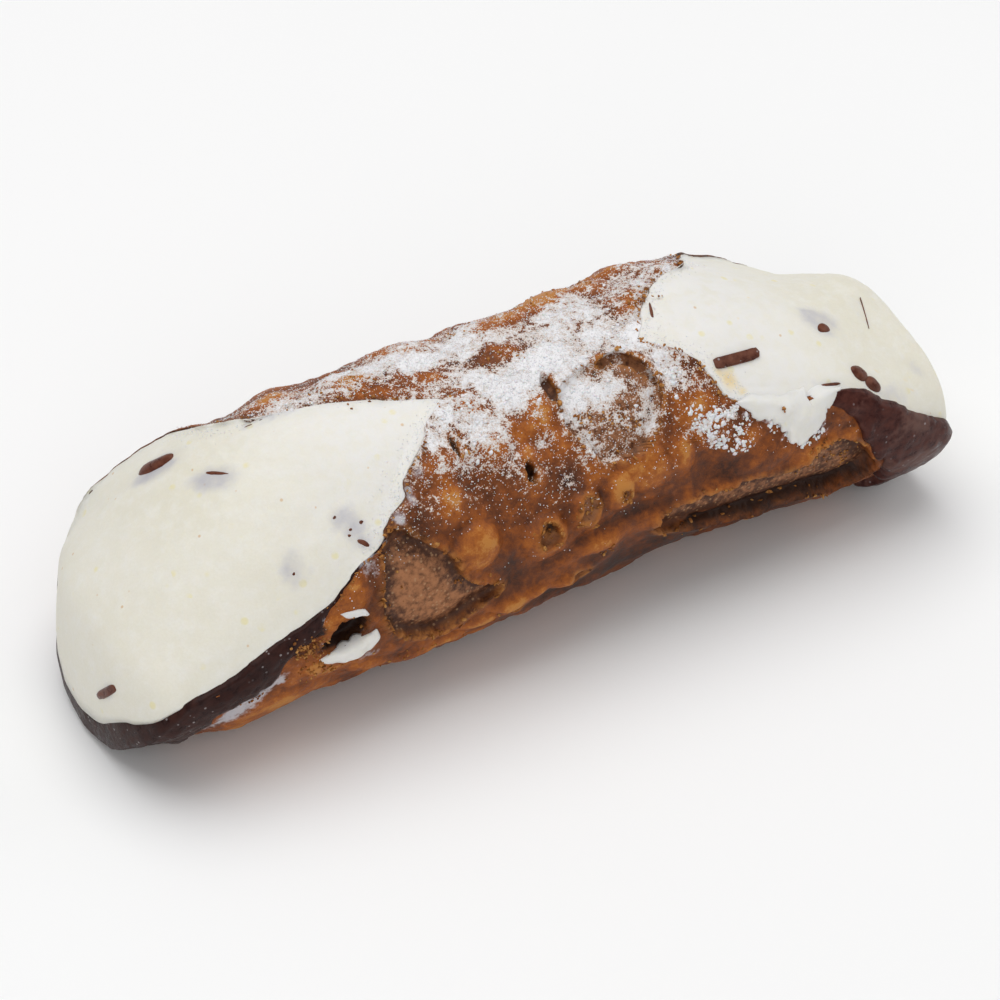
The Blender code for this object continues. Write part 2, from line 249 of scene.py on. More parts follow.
# broken blisters: corners (x, angle) round the hole, or an oval (x, angle, half along, half round);
# shade is how strongly the floor takes its colour, and gold how pale gold its torn edge is; the dark floors
# are painted shade in deep holes and clefts, and a milk floor darkens with painted shade near its walls
# and where its shade is below 1
plainCrater = {"crown": 0.0, "wall": 0.7, "rim": 0.3, "overhang": 0.3, "rough": 0.3,
               "shade": 1.0, "gold": 1.0}
craters = [dict(plainCrater, **crater) for crater in (
    {"name": "bigBlister", "kind": "milk", "depth": 1.6, "crown": 0.45, "wall": 1.0, "rim": 0.45,
     "overhang": 0.4, "rough": 0.35,
     "corners": [(-31.9, 66), (-32.3, 73), (-32.9, 80), (-32.9, 90), (-31.4, 98), (-27.3, 106),
                 (-23.5, 109), (-20.5, 108), (-18.4, 104), (-15.9, 101), (-13, 98), (-12.4, 94),
                 (-14.3, 90), (-17.7, 87), (-19, 81), (-20.1, 73), (-21.9, 68), (-24, 63), (-26.2, 60),
                 (-27.2, 56), (-29.4, 54), (-31, 58)]},
    {"name": "basin", "kind": "speckled", "depth": 1.35, "crown": 0.5, "wall": 1.1, "rim": 0.45,
     "overhang": 0.25,
     "corners": [(3.4, 30), (5.4, 25), (8.2, 22), (11.6, 21), (14.3, 20), (17.2, 23), (19.2, 29),
                 (20, 37), (19.3, 45), (17, 54), (14.2, 59), (10.6, 61), (7.3, 59), (5.2, 54),
                 (4.2, 48), (2.6, 41)]},
    {"name": "basinArc", "kind": "speckled", "depth": 1.35, "wall": 0.8, "rim": 0.45, "overhang": 0.5,
     "rough": 0.35,
     "corners": [(11.4, 22.5), (12.6, 20.5), (14.4, 19.2), (16.4, 21), (18.4, 25.5), (19.8, 31),
                 (20.2, 37), (19.2, 38.5), (18.2, 33), (16.4, 27.5), (14.4, 24.5), (12.8, 25)]},
    {"name": "longHollow", "kind": "milk", "depth": 2.5, "crown": 0.35, "wall": 0.9, "rim": 0.5,
     "overhang": 0.4, "rough": 0.35, "shade": 0.72,
     "corners": [(14.6, 92), (16.6, 89), (21.7, 87), (26.3, 88), (32.4, 89), (37.4, 90.5), (41, 90.5),
                 (43.9, 88.5), (47, 85), (50.4, 88.5), (52.8, 93), (55.2, 101), (57, 112), (55, 119),
                 (50.5, 121), (42.7, 114.5), (33.9, 112), (25.1, 107), (19.6, 104.5), (16.4, 102),
                 (14.4, 97)]},
    {"name": "hollowCleft", "kind": "dark", "depth": 2.6, "wall": 0.9, "rim": 0.0, "overhang": 0.0,
     "gold": 0.0,
     "corners": [(19, 102), (25, 103.6), (33, 106.4), (41, 109.4), (48.5, 114.2), (54, 115.5),
                 (55.5, 118.6), (50.5, 121), (42.7, 115.6), (33.9, 113), (25.1, 108.4), (19.6, 105.4)]},
    {"name": "hollowPocket", "kind": "dark", "depth": 2.9, "wall": 0.6, "rim": 0.2, "overhang": 0.4,
     "corners": [(14.8, 92.5), (16.4, 90.4), (18.2, 90.6), (18.6, 93), (17.2, 96), (15.4, 96.5)]},
    # the torn gap's near-black floor is chocolate showing through, with painted shade in the hole
    {"name": "tornGap", "kind": "chocolate", "depth": 3.0, "rim": 0.35, "overhang": 0.45, "rough": 0.25,
     "shade": 1.7, "gold": 0.2,
     "corners": [(-43.5, 95), (-43.1, 89.5), (-41.6, 85.5), (-40.1, 82), (-38, 82.5), (-35.7, 84),
                 (-35.5, 90), (-36.6, 94), (-38.1, 96), (-40.6, 97)]},
    {"name": "craterOne", "kind": "speckled", "depth": 0.3, "overhang": 0.25, "rough": 0.45,
     "oval": (-4.2, 77.5, 2, 2.1)},
    {"name": "craterOneDeep", "kind": "dark", "depth": 0.9, "wall": 0.6, "rim": 0.0, "overhang": 0.1,
     "oval": (-3.5, 77, 0.9, 1.3)},
    {"name": "craterTwo", "kind": "speckled", "depth": 0.15, "wall": 0.8, "rim": 0.25, "overhang": 0.0,
     "rough": 0.5, "oval": (2.9, 74.5, 2, 2.2)},
    {"name": "craterThree", "kind": "speckled", "depth": -0.35, "wall": 0.4, "rim": 0.15,
     "overhang": 0.0, "oval": (9.5, 73.5, 0.9, 1.1)},
    {"name": "ovalHole", "kind": "dark", "depth": 1.5, "wall": 0.5, "rim": 0.25, "overhang": 0.25,
     "rough": 0.2, "oval": (-5.3, 52, 0.95, 1.9)},
    {"name": "ridgeHollow", "kind": "milk", "depth": 0.9, "wall": 0.6, "rim": 0.25,
     "oval": (3, 26.5, 1.1, 2.4)},
    {"name": "pinHole", "kind": "dark", "depth": 1.2, "wall": 0.4, "rim": 0.2, "overhang": 0.1,
     "oval": (-8.8, 112, 1, 0.8)},
    {"name": "darkPocket", "kind": "speckled", "depth": 1.0, "rim": 0.2, "oval": (2.2, 106, 2.2, 1.3)},
    {"name": "crackTop", "kind": "dark", "depth": 0.5, "wall": 0.5, "rim": 0.2, "overhang": 0.2,
     "oval": (-15.2, 35, 0.5, 1.7)},
    {"name": "backOne", "kind": "milk", "depth": 1.5, "crown": 0.5, "wall": 0.9, "rim": 0.4,
     "rough": 0.5, "oval": (-34, 262, 7, 5)},
    {"name": "backTwo", "kind": "milk", "depth": 1.3, "crown": 0.4, "wall": 0.8, "rim": 0.4,
     "rough": 0.5, "oval": (18, 268, 5, 6.5)},
    {"name": "backThree", "kind": "dark", "depth": 1.2, "rough": 0.4, "oval": (-6, 306, 2.6, 2)},
    {"name": "backFour", "kind": "dark", "depth": 1.0, "wall": 0.6, "overhang": 0.2, "rough": 0.4,
     "oval": (39, 232, 2.2, 2.8)},
)]


def craterOutline(crater, seed):  # a smooth closed line through the corners, in mm and mm round
    if "oval" in crater:
        cx, ca, along, around = crater["oval"]
        wobble = np.random.RandomState(seed).uniform(0.8, 1.2, 12)
        turns = np.linspace(0, 2 * math.pi, 12, endpoint=False)
        corners = np.stack([cx + along * wobble * np.cos(turns),
                            ca * mmPerDegree + around * wobble * np.sin(turns)], 1)
    else:
        corners = np.array(crater["corners"], float) * (1, mmPerDegree)
    return curveThrough(np.concatenate([corners[-1:], corners, corners[:2]]), 4)


def lineDistance(x, arc, line):  # signed distance, negative inside, and the way out of the hole
    best = np.full(len(x), 1e9)
    outX, outArc = np.zeros(len(x)), np.zeros(len(x))
    inside = np.zeros(len(x), bool)
    for i in range(len(line)):
        (x0, s0), (x1, s1) = line[i], line[(i + 1) % len(line)]
        ex, es = x1 - x0, s1 - s0
        t = np.clip(((x - x0) * ex + (arc - s0) * es) / (ex * ex + es * es + 1e-9), 0, 1)
        gx, gs = x - x0 - t * ex, arc - s0 - t * es
        far = gx * gx + gs * gs
        closer = far < best
        best = np.where(closer, far, best)
        outX, outArc = np.where(closer, gx, outX), np.where(closer, gs, outArc)
        if s0 != s1:
            crosses = ((s0 > arc) != (s1 > arc)) & (x < x0 + (arc - s0) * ex / es)
            inside ^= crosses
    best = np.sqrt(best) + 1e-6
    sign = np.where(inside, -1.0, 1.0)
    return best * sign, outX / best * sign, outArc / best * sign


craterLines = [craterOutline(crater, 40 + i) for i, crater in enumerate(craters)]


def seamLift(x, angle):  # the front flap laps over the back one
    past = turnFrom(angle, skin["seamAngle"] + 0.9 * np.sin(x / 5.0) + 0.25 * np.clip(x, 0, 20))
    front = skin["seamStep"] * (1 - smooth(past / skin["seamFade"]))
    back = -0.4 * skin["seamStep"] * (1 - smooth(-past / skin["seamFade"]))
    return back + (front - back) * smooth(past, -0.9, 0.9)


crustKinds = ("milk", "speckled", "dark", "chocolate", "torn")  # what the floors and edges look like


def relief(x, angle):  # everything the skin does at these spots
    plain = tubePoint(x, angle, tube["radius"])
    inDells = patchAmount(x, angle, dells)
    (slow, slowSize), (mid, midSize) = skin["slowWaves"], skin["midWaves"]
    (bubbles, capSize), (smallBubbles, smallSize) = skin["bubbles"], skin["smallBubbles"]
    caps, smallCaps = bubbleCaps(plain, capSize, 21), bubbleCaps(plain, smallSize, 22)
    calm = np.clip(1 - 1.1 * inDells, 0.15, 1)
    waves = slow * softNoise(plain, slowSize, 1) + mid * softNoise(plain, midSize, 2)
    fine, coarse = (softNoise(plain, size, 3 + i) for i, size in enumerate(skin["grainSizes"]))
    grain = skin["fineGrain"] * (fine + coarse)
    domed = np.zeros(len(x))
    for *place, height in domes:
        domed = np.maximum(domed, height * np.clip(1 - farFrom(x, angle, *place), 0, 1) ** 0.8)
    spare = np.clip(1 - domed, 0, 1)
    height = (waves + patchAmount(x, angle, sags) + grain * calm + domed - 0.75 * inDells
              + (bubbles * caps + smallBubbles * smallCaps) * calm * (0.35 + 0.65 * spare))
    # the tone is lighter on the domes and bubble caps, and darker in the dells as painted shade
    tone = (0.50 + 0.24 * np.clip(domed, 0, 1) + 0.28 * caps * calm + 0.14 * smallCaps
            + 0.10 * softNoise(plain, 6, 5) - 0.27 * inDells)
    tone = np.maximum(tone, 0.24 + 0.1 * smallCaps)
    data = {kind: np.zeros(len(x)) for kind in crustKinds}
    moveX, moveArc = np.zeros(len(x)), np.zeros(len(x))
    ragged = softNoise(plain, 0.9, 6)
    raggedWide = softNoise(plain, 2.6, 7)
    for crater, line in zip(craters, craterLines):
        middle = (line[:, 1].min() + line[:, 1].max()) / 2 / mmPerDegree
        arc = (turnFrom(angle, middle) + middle) * mmPerDegree
        near = ((x > line[:, 0].min() - 3) & (x < line[:, 0].max() + 3)
                & (arc > line[:, 1].min() - 3) & (arc < line[:, 1].max() + 3))
        if not near.any():
            continue
        far, outX, outArc = lineDistance(x[near], arc[near], line)
        far = far + crater["rough"] * (0.3 * ragged[near] + 0.9 * raggedWide[near])
        inside = smooth(-far / crater["wall"])
        floor = -crater["depth"] + crater["crown"] * smooth(-far / 4.0) + 0.10 * raggedWide[near]
        floor += 0.05 * ragged[near]
        height[near] = height[near] * (1 - inside) + floor * inside
        lip = np.exp(-(np.clip(far - 0.1, 0, None) / 0.8) ** 2) * (1 - inside)
        height[near] += crater["rim"] * lip * (0.9 + 0.35 * ragged[near] + 0.3 * raggedWide[near])
        tone[near] = tone[near] * (1 - inside) + 0.4 * inside
        for kind in data:
            data[kind][near] *= 1 - inside
        # milk floors darken towards their walls, and where shade is below 1: painted shade in the hollow
        wallShade = 1.0 if crater["kind"] != "milk" else 0.35 + 0.65 * smooth(-far / 4.4, 0.05, 1.0)
        data[crater["kind"]][near] += inside * wallShade * crater["shade"]
        edge = crater["gold"] * np.exp(-(far / 0.45) ** 2) * (0.7 + 0.6 * ragged[near])
        data["torn"][near] = np.maximum(data["torn"][near], edge)
        push = (0.7 * smooth(-far, -1.0, 0.1) * np.exp(-(np.clip(far, 0, None) / 0.7) ** 2)
                * (1 - smooth(-far / 0.35))) * crater["overhang"]
        undercut = 0.9 * crater["overhang"] * np.exp(-((far + 0.75) / 0.4) ** 2)
        moveX[near] += outX * (undercut - push)
        moveArc[near] += outArc * (undercut - push)
    under = smooth(x, 16, 24) * smooth(np.mod(angle, 360), 100, 106) * (np.mod(angle, 360) < 145)
    data["torn"] *= 1 - 0.85 * under  # the long hollow's lower lip keeps little of its golden torn edge
    data.update(height=height, tone=tone, moveX=moveX, moveAngle=moveArc / mmPerDegree)
    return data


def skinPoint(x, angle, lift=0.0, data=None):  # a spot on the finished skin, or lifted off it
    data = data or relief(x, angle)
    px, pa = x + data["moveX"], angle + data["moveAngle"]
    radius = tubeRadius(px) + seamLift(x, angle) + data["height"] + lift
    point = tubePoint(px, pa, radius)
    settled = np.clip(0.25 - point[:, 2], 0, None)  # the underside rests on the plate
    point[:, 2] = np.maximum(point[:, 2] + settled * 0.9, 0.02)
    return point


def meshPiece(name, points, faces, material, masks=None, slot=None, replaced=None, shadeSmooth=True):
    mesh = bpy.data.meshes.new(name)
    mesh.vertices.add(len(points))
    mesh.vertices.foreach_set("co", (np.asarray(points) * mm).astype(np.float32).ravel())
    faces = [np.asarray(block, np.int32) for block in (faces if isinstance(faces, list) else [faces])]
    corners = np.concatenate([block.ravel() for block in faces])
    counts = np.concatenate([np.full(len(block), block.shape[1]) for block in faces])
    mesh.loops.add(len(corners))
    mesh.polygons.add(len(counts))
    mesh.loops.foreach_set("vertex_index", corners)
    mesh.polygons.foreach_set("loop_start", np.concatenate([[0], np.cumsum(counts)[:-1]]).astype(np.int32))
    mesh.polygons.foreach_set("loop_total", counts.astype(np.int32))
    mesh.update(calc_edges=True)
    mesh.validate()
    if shadeSmooth:
        mesh.shade_smooth()
    for maskName, values in (masks or {}).items():
        mask = mesh.attributes.new(maskName, "FLOAT", "POINT")
        mask.data.foreach_set("value", np.asarray(values, np.float32))
    mesh.materials.append(material)
    piece = bpy.data.objects.new(name, mesh)
    bpy.context.scene.collection.objects.link(piece)
    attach(piece, "root")
    if replaced:
        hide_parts(replaced)
    print("scene:", name, len(points), "points,", int((counts - 2).sum()), "triangles")
    return piece


def gridFaces(rows, columns, closeRows=False, closeColumns=True):
    i = np.arange(rows if closeRows else rows - 1)[:, None]
    j = np.arange(columns if closeColumns else columns - 1)[None, :]
    i2, j2 = (i + 1) % rows, (j + 1) % columns
    quad = np.stack([i * columns + j + 0 * i2, i * columns + j2, i2 * columns + j2, i2 * columns + j], -1)
    return quad.reshape(-1, 4)


def lathe(points):  # rows of the same number of points, closed round, with a middle point at each end
    rows, columns = points.shape[:2]
    flat = points.reshape(-1, 3)
    ends = np.stack([points[0].mean(0), points[-1].mean(0)])
    first, last = len(flat), len(flat) + 1
    j = np.arange(columns)
    firstFan = np.stack([np.full(columns, first), (j + 1) % columns, j], 1)
    top = (rows - 1) * columns
    lastFan = np.stack([np.full(columns, last), top + j, top + (j + 1) % columns], 1)
    return np.concatenate([flat, ends]), [gridFaces(rows, columns), firstFan, lastFan]


def materialBase(name):
    material = bpy.data.materials.new(name)
    material.use_nodes = True
    tree = material.node_tree
    return material, tree, tree.nodes["Principled BSDF"]


def fill(tree, target, inputs):  # links what comes from another node, and sets plain values
    for key, value in inputs.items():
        if isinstance(value, bpy.types.NodeSocket):
            tree.links.new(value, target.inputs[key])
        else:
            target.inputs[key].default_value = value


def node(tree, kind, inputs=None, **settings):
    made = tree.nodes.new(kind)
    for key, value in settings.items():
        setattr(made, key, value)
    fill(tree, made, inputs or {})
    return made


def sums(tree, operation, total, *values, clamp=False):  # one operation after another
    for value in values:
        total = node(tree, "ShaderNodeMath", {0: total, 1: value},
                     operation=operation, use_clamp=clamp).outputs[0]
    return total


def scaled(tree, value, factor):
    return sums(tree, "MULTIPLY", value, factor)


def ranged(tree, value, low, high, toLow=0.0, toHigh=1.0):
    return node(tree, "ShaderNodeMapRange", {0: value, 1: low, 2: high, 3: toLow, 4: toHigh},
                interpolation_type="SMOOTHSTEP").outputs[0]


def blended(tree, amount, a, b):
    a, b = (colour if isinstance(colour, bpy.types.NodeSocket) else (*colour, 1.0) for colour in (a, b))
    return node(tree, "ShaderNodeMix", {0: amount, 6: a, 7: b}, data_type="RGBA").outputs[2]


def noiseValue(tree, scale, detail=3.0, roughness=0.55, where=None):
    where = where or node(tree, "ShaderNodeTexCoord").outputs["Object"]
    return node(tree, "ShaderNodeTexNoise", {"Vector": where, "Scale": scale, "Detail": detail,
                                             "Roughness": roughness}).outputs["Fac"]


def maskValue(tree, name):
    return node(tree, "ShaderNodeAttribute", attribute_name=name).outputs["Fac"]


def layered(tree, colour, *layers):  # (how much, colour) on top of one another
    for amount, over in layers:
        colour = blended(tree, amount, colour, over)
    return colour


def rampColour(tree, value, stops):
    ramp = node(tree, "ShaderNodeValToRGB", {"Fac": value})
    for i, (spot, colour) in enumerate(stops):
        stop = ramp.color_ramp.elements[i] if i < 2 else ramp.color_ramp.elements.new(spot)
        stop.position = spot
        stop.color = (*colour, 1.0)
    return ramp.outputs["Color"]


def bumped(tree, height, strength, distance):
    return node(tree, "ShaderNodeBump", {"Height": height, "Strength": strength,
                                         "Distance": distance}).outputs["Normal"]


def newGroup(name, inputs, outputs):
    group = bpy.data.node_groups.new(name, "ShaderNodeTree")
    for inOut, titles in (("INPUT", inputs), ("OUTPUT", outputs)):
        for title in titles:
            kind = "NodeSocketColor" if title == "Color" else "NodeSocketFloat"
            group.interface.new_socket(title, in_out=inOut, socket_type=kind)
    return group, group.nodes.new("NodeGroupInput"), group.nodes.new("NodeGroupOutput")


def groupNode(tree, group, **inputs):
    return node(tree, "ShaderNodeGroup", inputs, node_tree=group)


def specks(tree, size, share):
    return groupNode(tree, speckGroup, Scale=size, Amount=share).outputs["Mask"]


# powdered sugar: where it lies, from how much of it fell; each noise is (scale, roughness, weight)
dusting = {
    "noises": [(260, 0.5, 1.1), (900, 0.6, 1.15), (3600, 0.7, 0.8)],
    "thinColour": (0.64, 0.51, 0.43), "thickColour": (0.86, 0.85, 0.865),
}


def makeSugarGroup():
    group, takes, gives = newGroup("sugar dusting", ["Density"], ["Mask", "Height", "Color"])
    fell = takes.outputs["Density"]
    parts = [scaled(group, sums(group, "SUBTRACT", noiseValue(group, scale, 2, rough), 0.5), weight)
             for scale, rough, weight in dusting["noises"]]
    total = sums(group, "ADD", *parts, fell)
    shown = sums(group, "MULTIPLY", ranged(group, total, 0.5, 0.62), ranged(group, fell, 0.02, 0.12))
    height = sums(group, "MULTIPLY", ranged(group, total, 0.45, 1.1), shown)
    tint = blended(group, ranged(group, total, 0.5, 0.95), dusting["thinColour"], dusting["thickColour"])
    fill(group, gives, {"Mask": shown, "Height": height, "Color": tint})
    return group


# speckles of one colour in another, for crumbs and grains too small to be shapes
def makeSpeckGroup():
    group, takes, gives = newGroup("speckles", ["Scale", "Amount"], ["Mask"])
    where = node(group, "ShaderNodeTexCoord").outputs["Object"]
    cells = node(group, "ShaderNodeTexVoronoi", {"Vector": where, "Scale": takes.outputs["Scale"]})
    chosen = node(group, "ShaderNodeSeparateColor", {0: cells.outputs["Color"]}).outputs[0]
    picked = sums(group, "LESS_THAN", chosen, takes.outputs["Amount"])
    dot = ranged(group, cells.outputs["Distance"], 0.42, 0.2)
    fill(group, gives, {"Mask": sums(group, "MULTIPLY", picked, dot)})
    return group


sugarGroup = makeSugarGroup()
speckGroup = makeSpeckGroup()
print("scene: shared node groups made")


pastry = {
    "fineFrom": -42.0, "fineTo": 152.0, "fineStep": 0.85, "coarseStep": 2.3,
    "outerRows": 262, "innerRows": 16,
    "rampStops": [(0.0, (0.016, 0.005, 0.003)), (0.22, (0.058, 0.017, 0.006)), (0.45, (0.138, 0.037, 0.009)),
                  (0.68, (0.262, 0.069, 0.010)), (0.86, (0.375, 0.109, 0.014)), (1.0, (0.48, 0.195, 0.040))],
    "tornColour": (0.44, 0.175, 0.040), "milkColour": (0.40, 0.172, 0.076),
    # the dark milk colour is painted shade near the walls of milk floors and also the dark of the speckled
    # floors' mottling; the dark colour is painted shade on the floors of deep holes and clefts
    "milkShadeAndMottle": (0.070, 0.025, 0.012), "holeShadeColour": (0.030, 0.010, 0.005),
    # the chocolate colour is soaked chocolate, and in the torn gap also painted shade
    "speckledColour": (0.29, 0.120, 0.052), "chocolateAndHoleShade": (0.020, 0.007, 0.005),
    "milkSpeck": (0.50, 0.30, 0.16), "rimColour": (0.160, 0.062, 0.024), "smudgeColour": (0.56, 0.56, 0.60),
    "blotches": 190, "mottling": 900, "grain": 4200,  # noise scales
    "roughness": (0.62, 0.42), "shine": 0.05,
    "rimBlend": 2.4, "wallFrom": 16, "sealRows": (0.2, 0.5, 0.8), "sealBulge": 0.12,
}
# how much sugar fell, by angle, and where it gathered or was knocked off
sugarByAngle = [(-80, 0.0), (-60, 0.10), (-40, 0.34), (-20, 0.54), (0, 0.64), (22, 0.60), (42, 0.42),
                (58, 0.23), (75, 0.08), (95, 0.03), (115, 0.015), (130, 0.0)]
sugarDrifts = [
    (-4.8, 19, 7, 4, 0.45), (6.3, 17, 7, 2.6, 0.45), (9.5, 31, 6, 3, 0.42), (5.8, 6, 6, 3, 0.4),
    (14.3, 8, 6, 2.4, 0.4), (17, 19, 4, 2, 0.35), (-5.1, -16, 6, 3, 0.4), (-0.1, 16, 5, 3, 0.3),
    (5, 36, 3.4, 4, 0.35), (5.6, 52, 2.6, 3.4, 0.38), (9.6, 58, 4, 1.6, 0.32), (-2, 43, 3, 2, 0.3),
    (-10, 30, 4, 3, 0.35), (-15, 21, 4, 2.4, 0.3), (21.9, 14, 4, 3, 0.42), (13.7, -12, 7, 2.6, 0.42),
    (28.4, -13, 5, 2.4, 0.35), (24.4, 58, 2.2, 1.6, 0.45), (29.4, 58, 2.2, 1.6, 0.45),
    (26.3, 66, 2.8, 1.8, 0.42), (30.4, 71, 2.4, 1.2, 0.3), (18.7, -3, 5, 2.4, 0.35),
    (-18.5, -18, 5, 2.6, 0.35), (-25.1, -20, 5, 2.4, 0.3), (-11.1, -12, 5, 2.4, 0.4),
    (17.6, 44, 1.6, 4, 0.28), (-8, 48, 3, 2, 0.2), (-0.7, 59, 3, 2, 0.22), (-14.1, 43, 2.4, 1.6, 0.3),
    (23.7, 39, 3, 3, 0.22), (22.1, 29, 3, 3, 0.25), (12.6, 48, 4.4, 4, 0.3), (39.3, 78, 2, 1, 0.15),
    (-18.4, 30, 2, 4, 0.2), (34, -6, 3, 3, 0.2), (-33, -12, 4, 2, 0.2),
]
sugarBare = [
    (0.2, 3, 4.5, 2.6, 0.42), (-9.4, 13, 3, 2.4, 0.2), (-7.5, 24, 3.6, 2.4, 0.3),
    (-3.9, 38, 2, 3.6, 0.28), (-4.1, 0, 3.6, 1.6, 0.3), (-13.8, 0, 4, 1.8, 0.25),
    (-20.2, -2, 4.6, 2.4, 0.42), (22.7, -4, 4.2, 2, 0.42), (26.7, -38, 4, 4, 0.3),
    (14.3, -27, 5, 2.6, 0.4), (4.2, -17, 3.4, 2, 0.35), (-8.2, -17, 3, 2, 0.2),
    (24.3, 51, 1.6, 1.6, 0.15), (22.9, 75, 4, 3, 0.3), (28.2, 80, 5, 3, 0.3), (12.4, 38, 1.8, 1.2, 0.3),
    (15.8, 26, 3.6, 2.2, 0.36), (18.4, 33, 1.2, 4, 0.25), (1.2, 40, 1.6, 4, 0.25),
    (-16, 70, 5, 5, 0.14), (5.4, 2, 2.6, 1.8, 0.2), (11.4, 8, 2.4, 1.2, 0.2), (-27, -4, 4, 1.6, 0.2),
    (21.2, 2.4, 3, 1.6, 0.35), (9.8, 65, 3, 3.6, 0.15), (3.2, 26, 1.5, 2.6, 1),
    (12.8, 21.8, 1.8, 0.9, 0.7), (-36, -24, 8, 3, 0.14), (19.6, -34, 3, 3, 0.2), (-24, 84, 7, 8, 0.2),
    (33, 100, 18, 5, 0.1), (-25, -34, 6, 4, 0.15), (8, -40, 8, 4, 0.2),
]


def sugarDensity(x, angle):
    signed = np.mod(angle + 180, 360) - 180
    base = np.interp(signed, [a for a, _ in sugarByAngle], [v for _, v in sugarByAngle])
    fell = base + patchAmount(x, angle, sugarDrifts) - patchAmount(x, angle, sugarBare)
    return np.clip(fell, 0, 1) * (base > 0)


creamSmudges = [  # bluish cream left on the pastry and the chocolate beside the mouths
    (-49.6, 104.4, 1.8, 1.1, 0.9), (-51.2, 106.2, 2.2, 1.4, 1.1), (-53.4, 109.6, 2.6, 1.6, 1.2),
    (-55.8, 113.8, 2.8, 1.7, 1.2), (-58.2, 119.2, 2.8, 1.8, 1.2), (-61.2, 125, 2.6, 1.5, 1),
    (-50.5, 101.5, 2, 0.9, 0.7), (-53, 104.5, 2.2, 0.9, 0.8), (-55.6, 109.5, 2.2, 0.9, 0.8),
    (-58, 115, 2.2, 1, 0.8), (-61, 122, 2.2, 1, 0.7), (-47.4, 97.5, 1.2, 0.6, 0.5),
    (-42.8, 80, 1.2, 1, 0.6), (-34, 63.5, 2, 2.2, 0.9), (-27.6, 51.8, 1.3, 1.8, 1.2),
    (-24.8, 44, 1.2, 2.6, 1.2), (-22.3, 38.5, 1, 1.6, 1), (-30.5, 59, 1.2, 1, 0.6),
    (-20.6, 32, 1.2, 1.6, 0.6), (-33.8, 69, 1.2, 0.9, 0.6), (24.5, 33, 1.2, 2, 0.5),
    (29.5, 46, 1, 1.5, 0.5), (36.5, 65, 3, 1.6, 0.8), (-16.5, 22, 2, 1.2, 0.6),
    (40.5, 75.5, 3.6, 1.8, 0.8), (45, 78, 2.4, 1.6, 0.7), (32.6, 60, 3, 1.6, 0.6),
    (-37.6, 92.5, 4, 0.8, 0.5), (-35, 106, 2.6, 1, 0.6), (-43.6, 91, 0.8, 3, 0.5),
]
chocolateStains = [  # melted chocolate soaked into the pastry
    (-44.5, 84, 2.6, 1.6, 1), (-48.5, 91, 2.4, 1.2, 0.8), (50, 82, 2.6, 1.2, 0.5),
    (46.5, 78, 2, 1, 0.5),
]
goldAndUndersideShade = [  # paler golden crust, or darker where the amount is below 0, which on the lower front is painted shade
    (-45.4, 103, 4.6, 3, 0.3), (-40, 109, 5, 2, 0.34), (-25, 118, 12, 2, 0.12),
    (-9.8, 38, 2.6, 2.6, 0.2), (34, 117, 24, 3.6, -0.36), (-25, 121, 20, 3.4, -0.16),
    (2, 119, 14, 3, -0.2), (-18.5, 88, 4, 1, 0.3), (-1, 106.5, 3.2, 1.2, 0.12),
    (-11.2, 106.5, 3.2, 1.2, 0.1), (-15.8, 111.5, 3.2, 1.2, 0.2),
    (-34.9, 338, 4, 3, 0.25), (-13.4, 340, 3, 2.4, 0.2), (6.2, 336, 3, 2.4, 0.2),
    (13.3, 338, 2.6, 2.4, 0.15), (21.6, 334, 3.6, 3, 0.25), (8.6, 70, 1.6, 1.6, 0.15),
    (-21, 116, 4, 1.4, 0.2), (-16, 71, 2, 2, 0.1), (4.6, 91, 4, 1.2, 0.15), (30, 88, 14, 0.8, 0.25),
    (12.6, 21, 5, 1, 0.25), (45, 86, 4, 0.9, 0.2), (-55, 123, 6, 1.6, 0.2), (-22.5, 343, 4, 4, 0.2),
    (24, 0, 4, 3, 0.22), (14, 333, 6, 4, 0.15), (4, 338, 36, 8, 0.1), (1, 48, 2.4, 2, 0.1),
]


def shellColumns():
    fine = np.arange(pastry["fineFrom"], pastry["fineTo"], pastry["fineStep"])
    left = 360 - (pastry["fineTo"] - pastry["fineFrom"])
    count = int(left / pastry["coarseStep"])
    coarse = pastry["fineTo"] + left * (np.arange(count) + 0.5) / (count + 0.5)
    return np.concatenate([fine, coarse])


def rimHeight(x, angle):  # the skin's slow waves, which are all that is left at a mouth
    return 0.3 * softNoise(tubePoint(x, angle, tube["radius"]), 9, 13) + patchAmount(x, angle, sags)


def rimSpot(side, angle, out=0.0, lift=0.0):  # on the skin's edge at a mouth, a little out of it
    sign = -1.0 if side == "left" else 1.0
    x = mouthX(side, angle)
    radius = tubeRadius(x) + seamLift(x, angle) + rimHeight(x, angle) + lift
    point = tubePoint(x + sign * out, angle, radius)
    point[:, 2] = np.maximum(point[:, 2], 0.05)
    return point


def pastryInside(outer, a, leftX, rightX, wall):  # the wall's inner side, from the right mouth to the left
    steps = np.linspace(1, 0, pastry["innerRows"])
    nearest = np.rint(steps * (pastry["outerRows"] - 1)).astype(int)
    x = leftX + (rightX - leftX) * steps[:, None]
    outRadius = np.hypot(outer[..., 1] - tube["middle"][1], outer[..., 2] - axisHeight(outer[..., 0]))
    radius = tubeRadius(x) + seamLift(x, a[nearest]) - wall[nearest]
    inner = tubePoint(x, a[nearest], np.minimum(radius, outRadius[nearest] - 0.3))
    inner[..., 2] = np.maximum(inner[..., 2], 0.35)
    return inner


def sealRows(outerRow, innerRow, sign):  # closes the wall at a mouth, a little rounded
    rows = []
    for t in pastry["sealRows"]:
        between = outerRow * (1 - t) + innerRow * t
        between[:, 0] += sign * pastry["sealBulge"] * math.sin(math.pi * t)
        rows.append(between)
    return np.stack(rows)


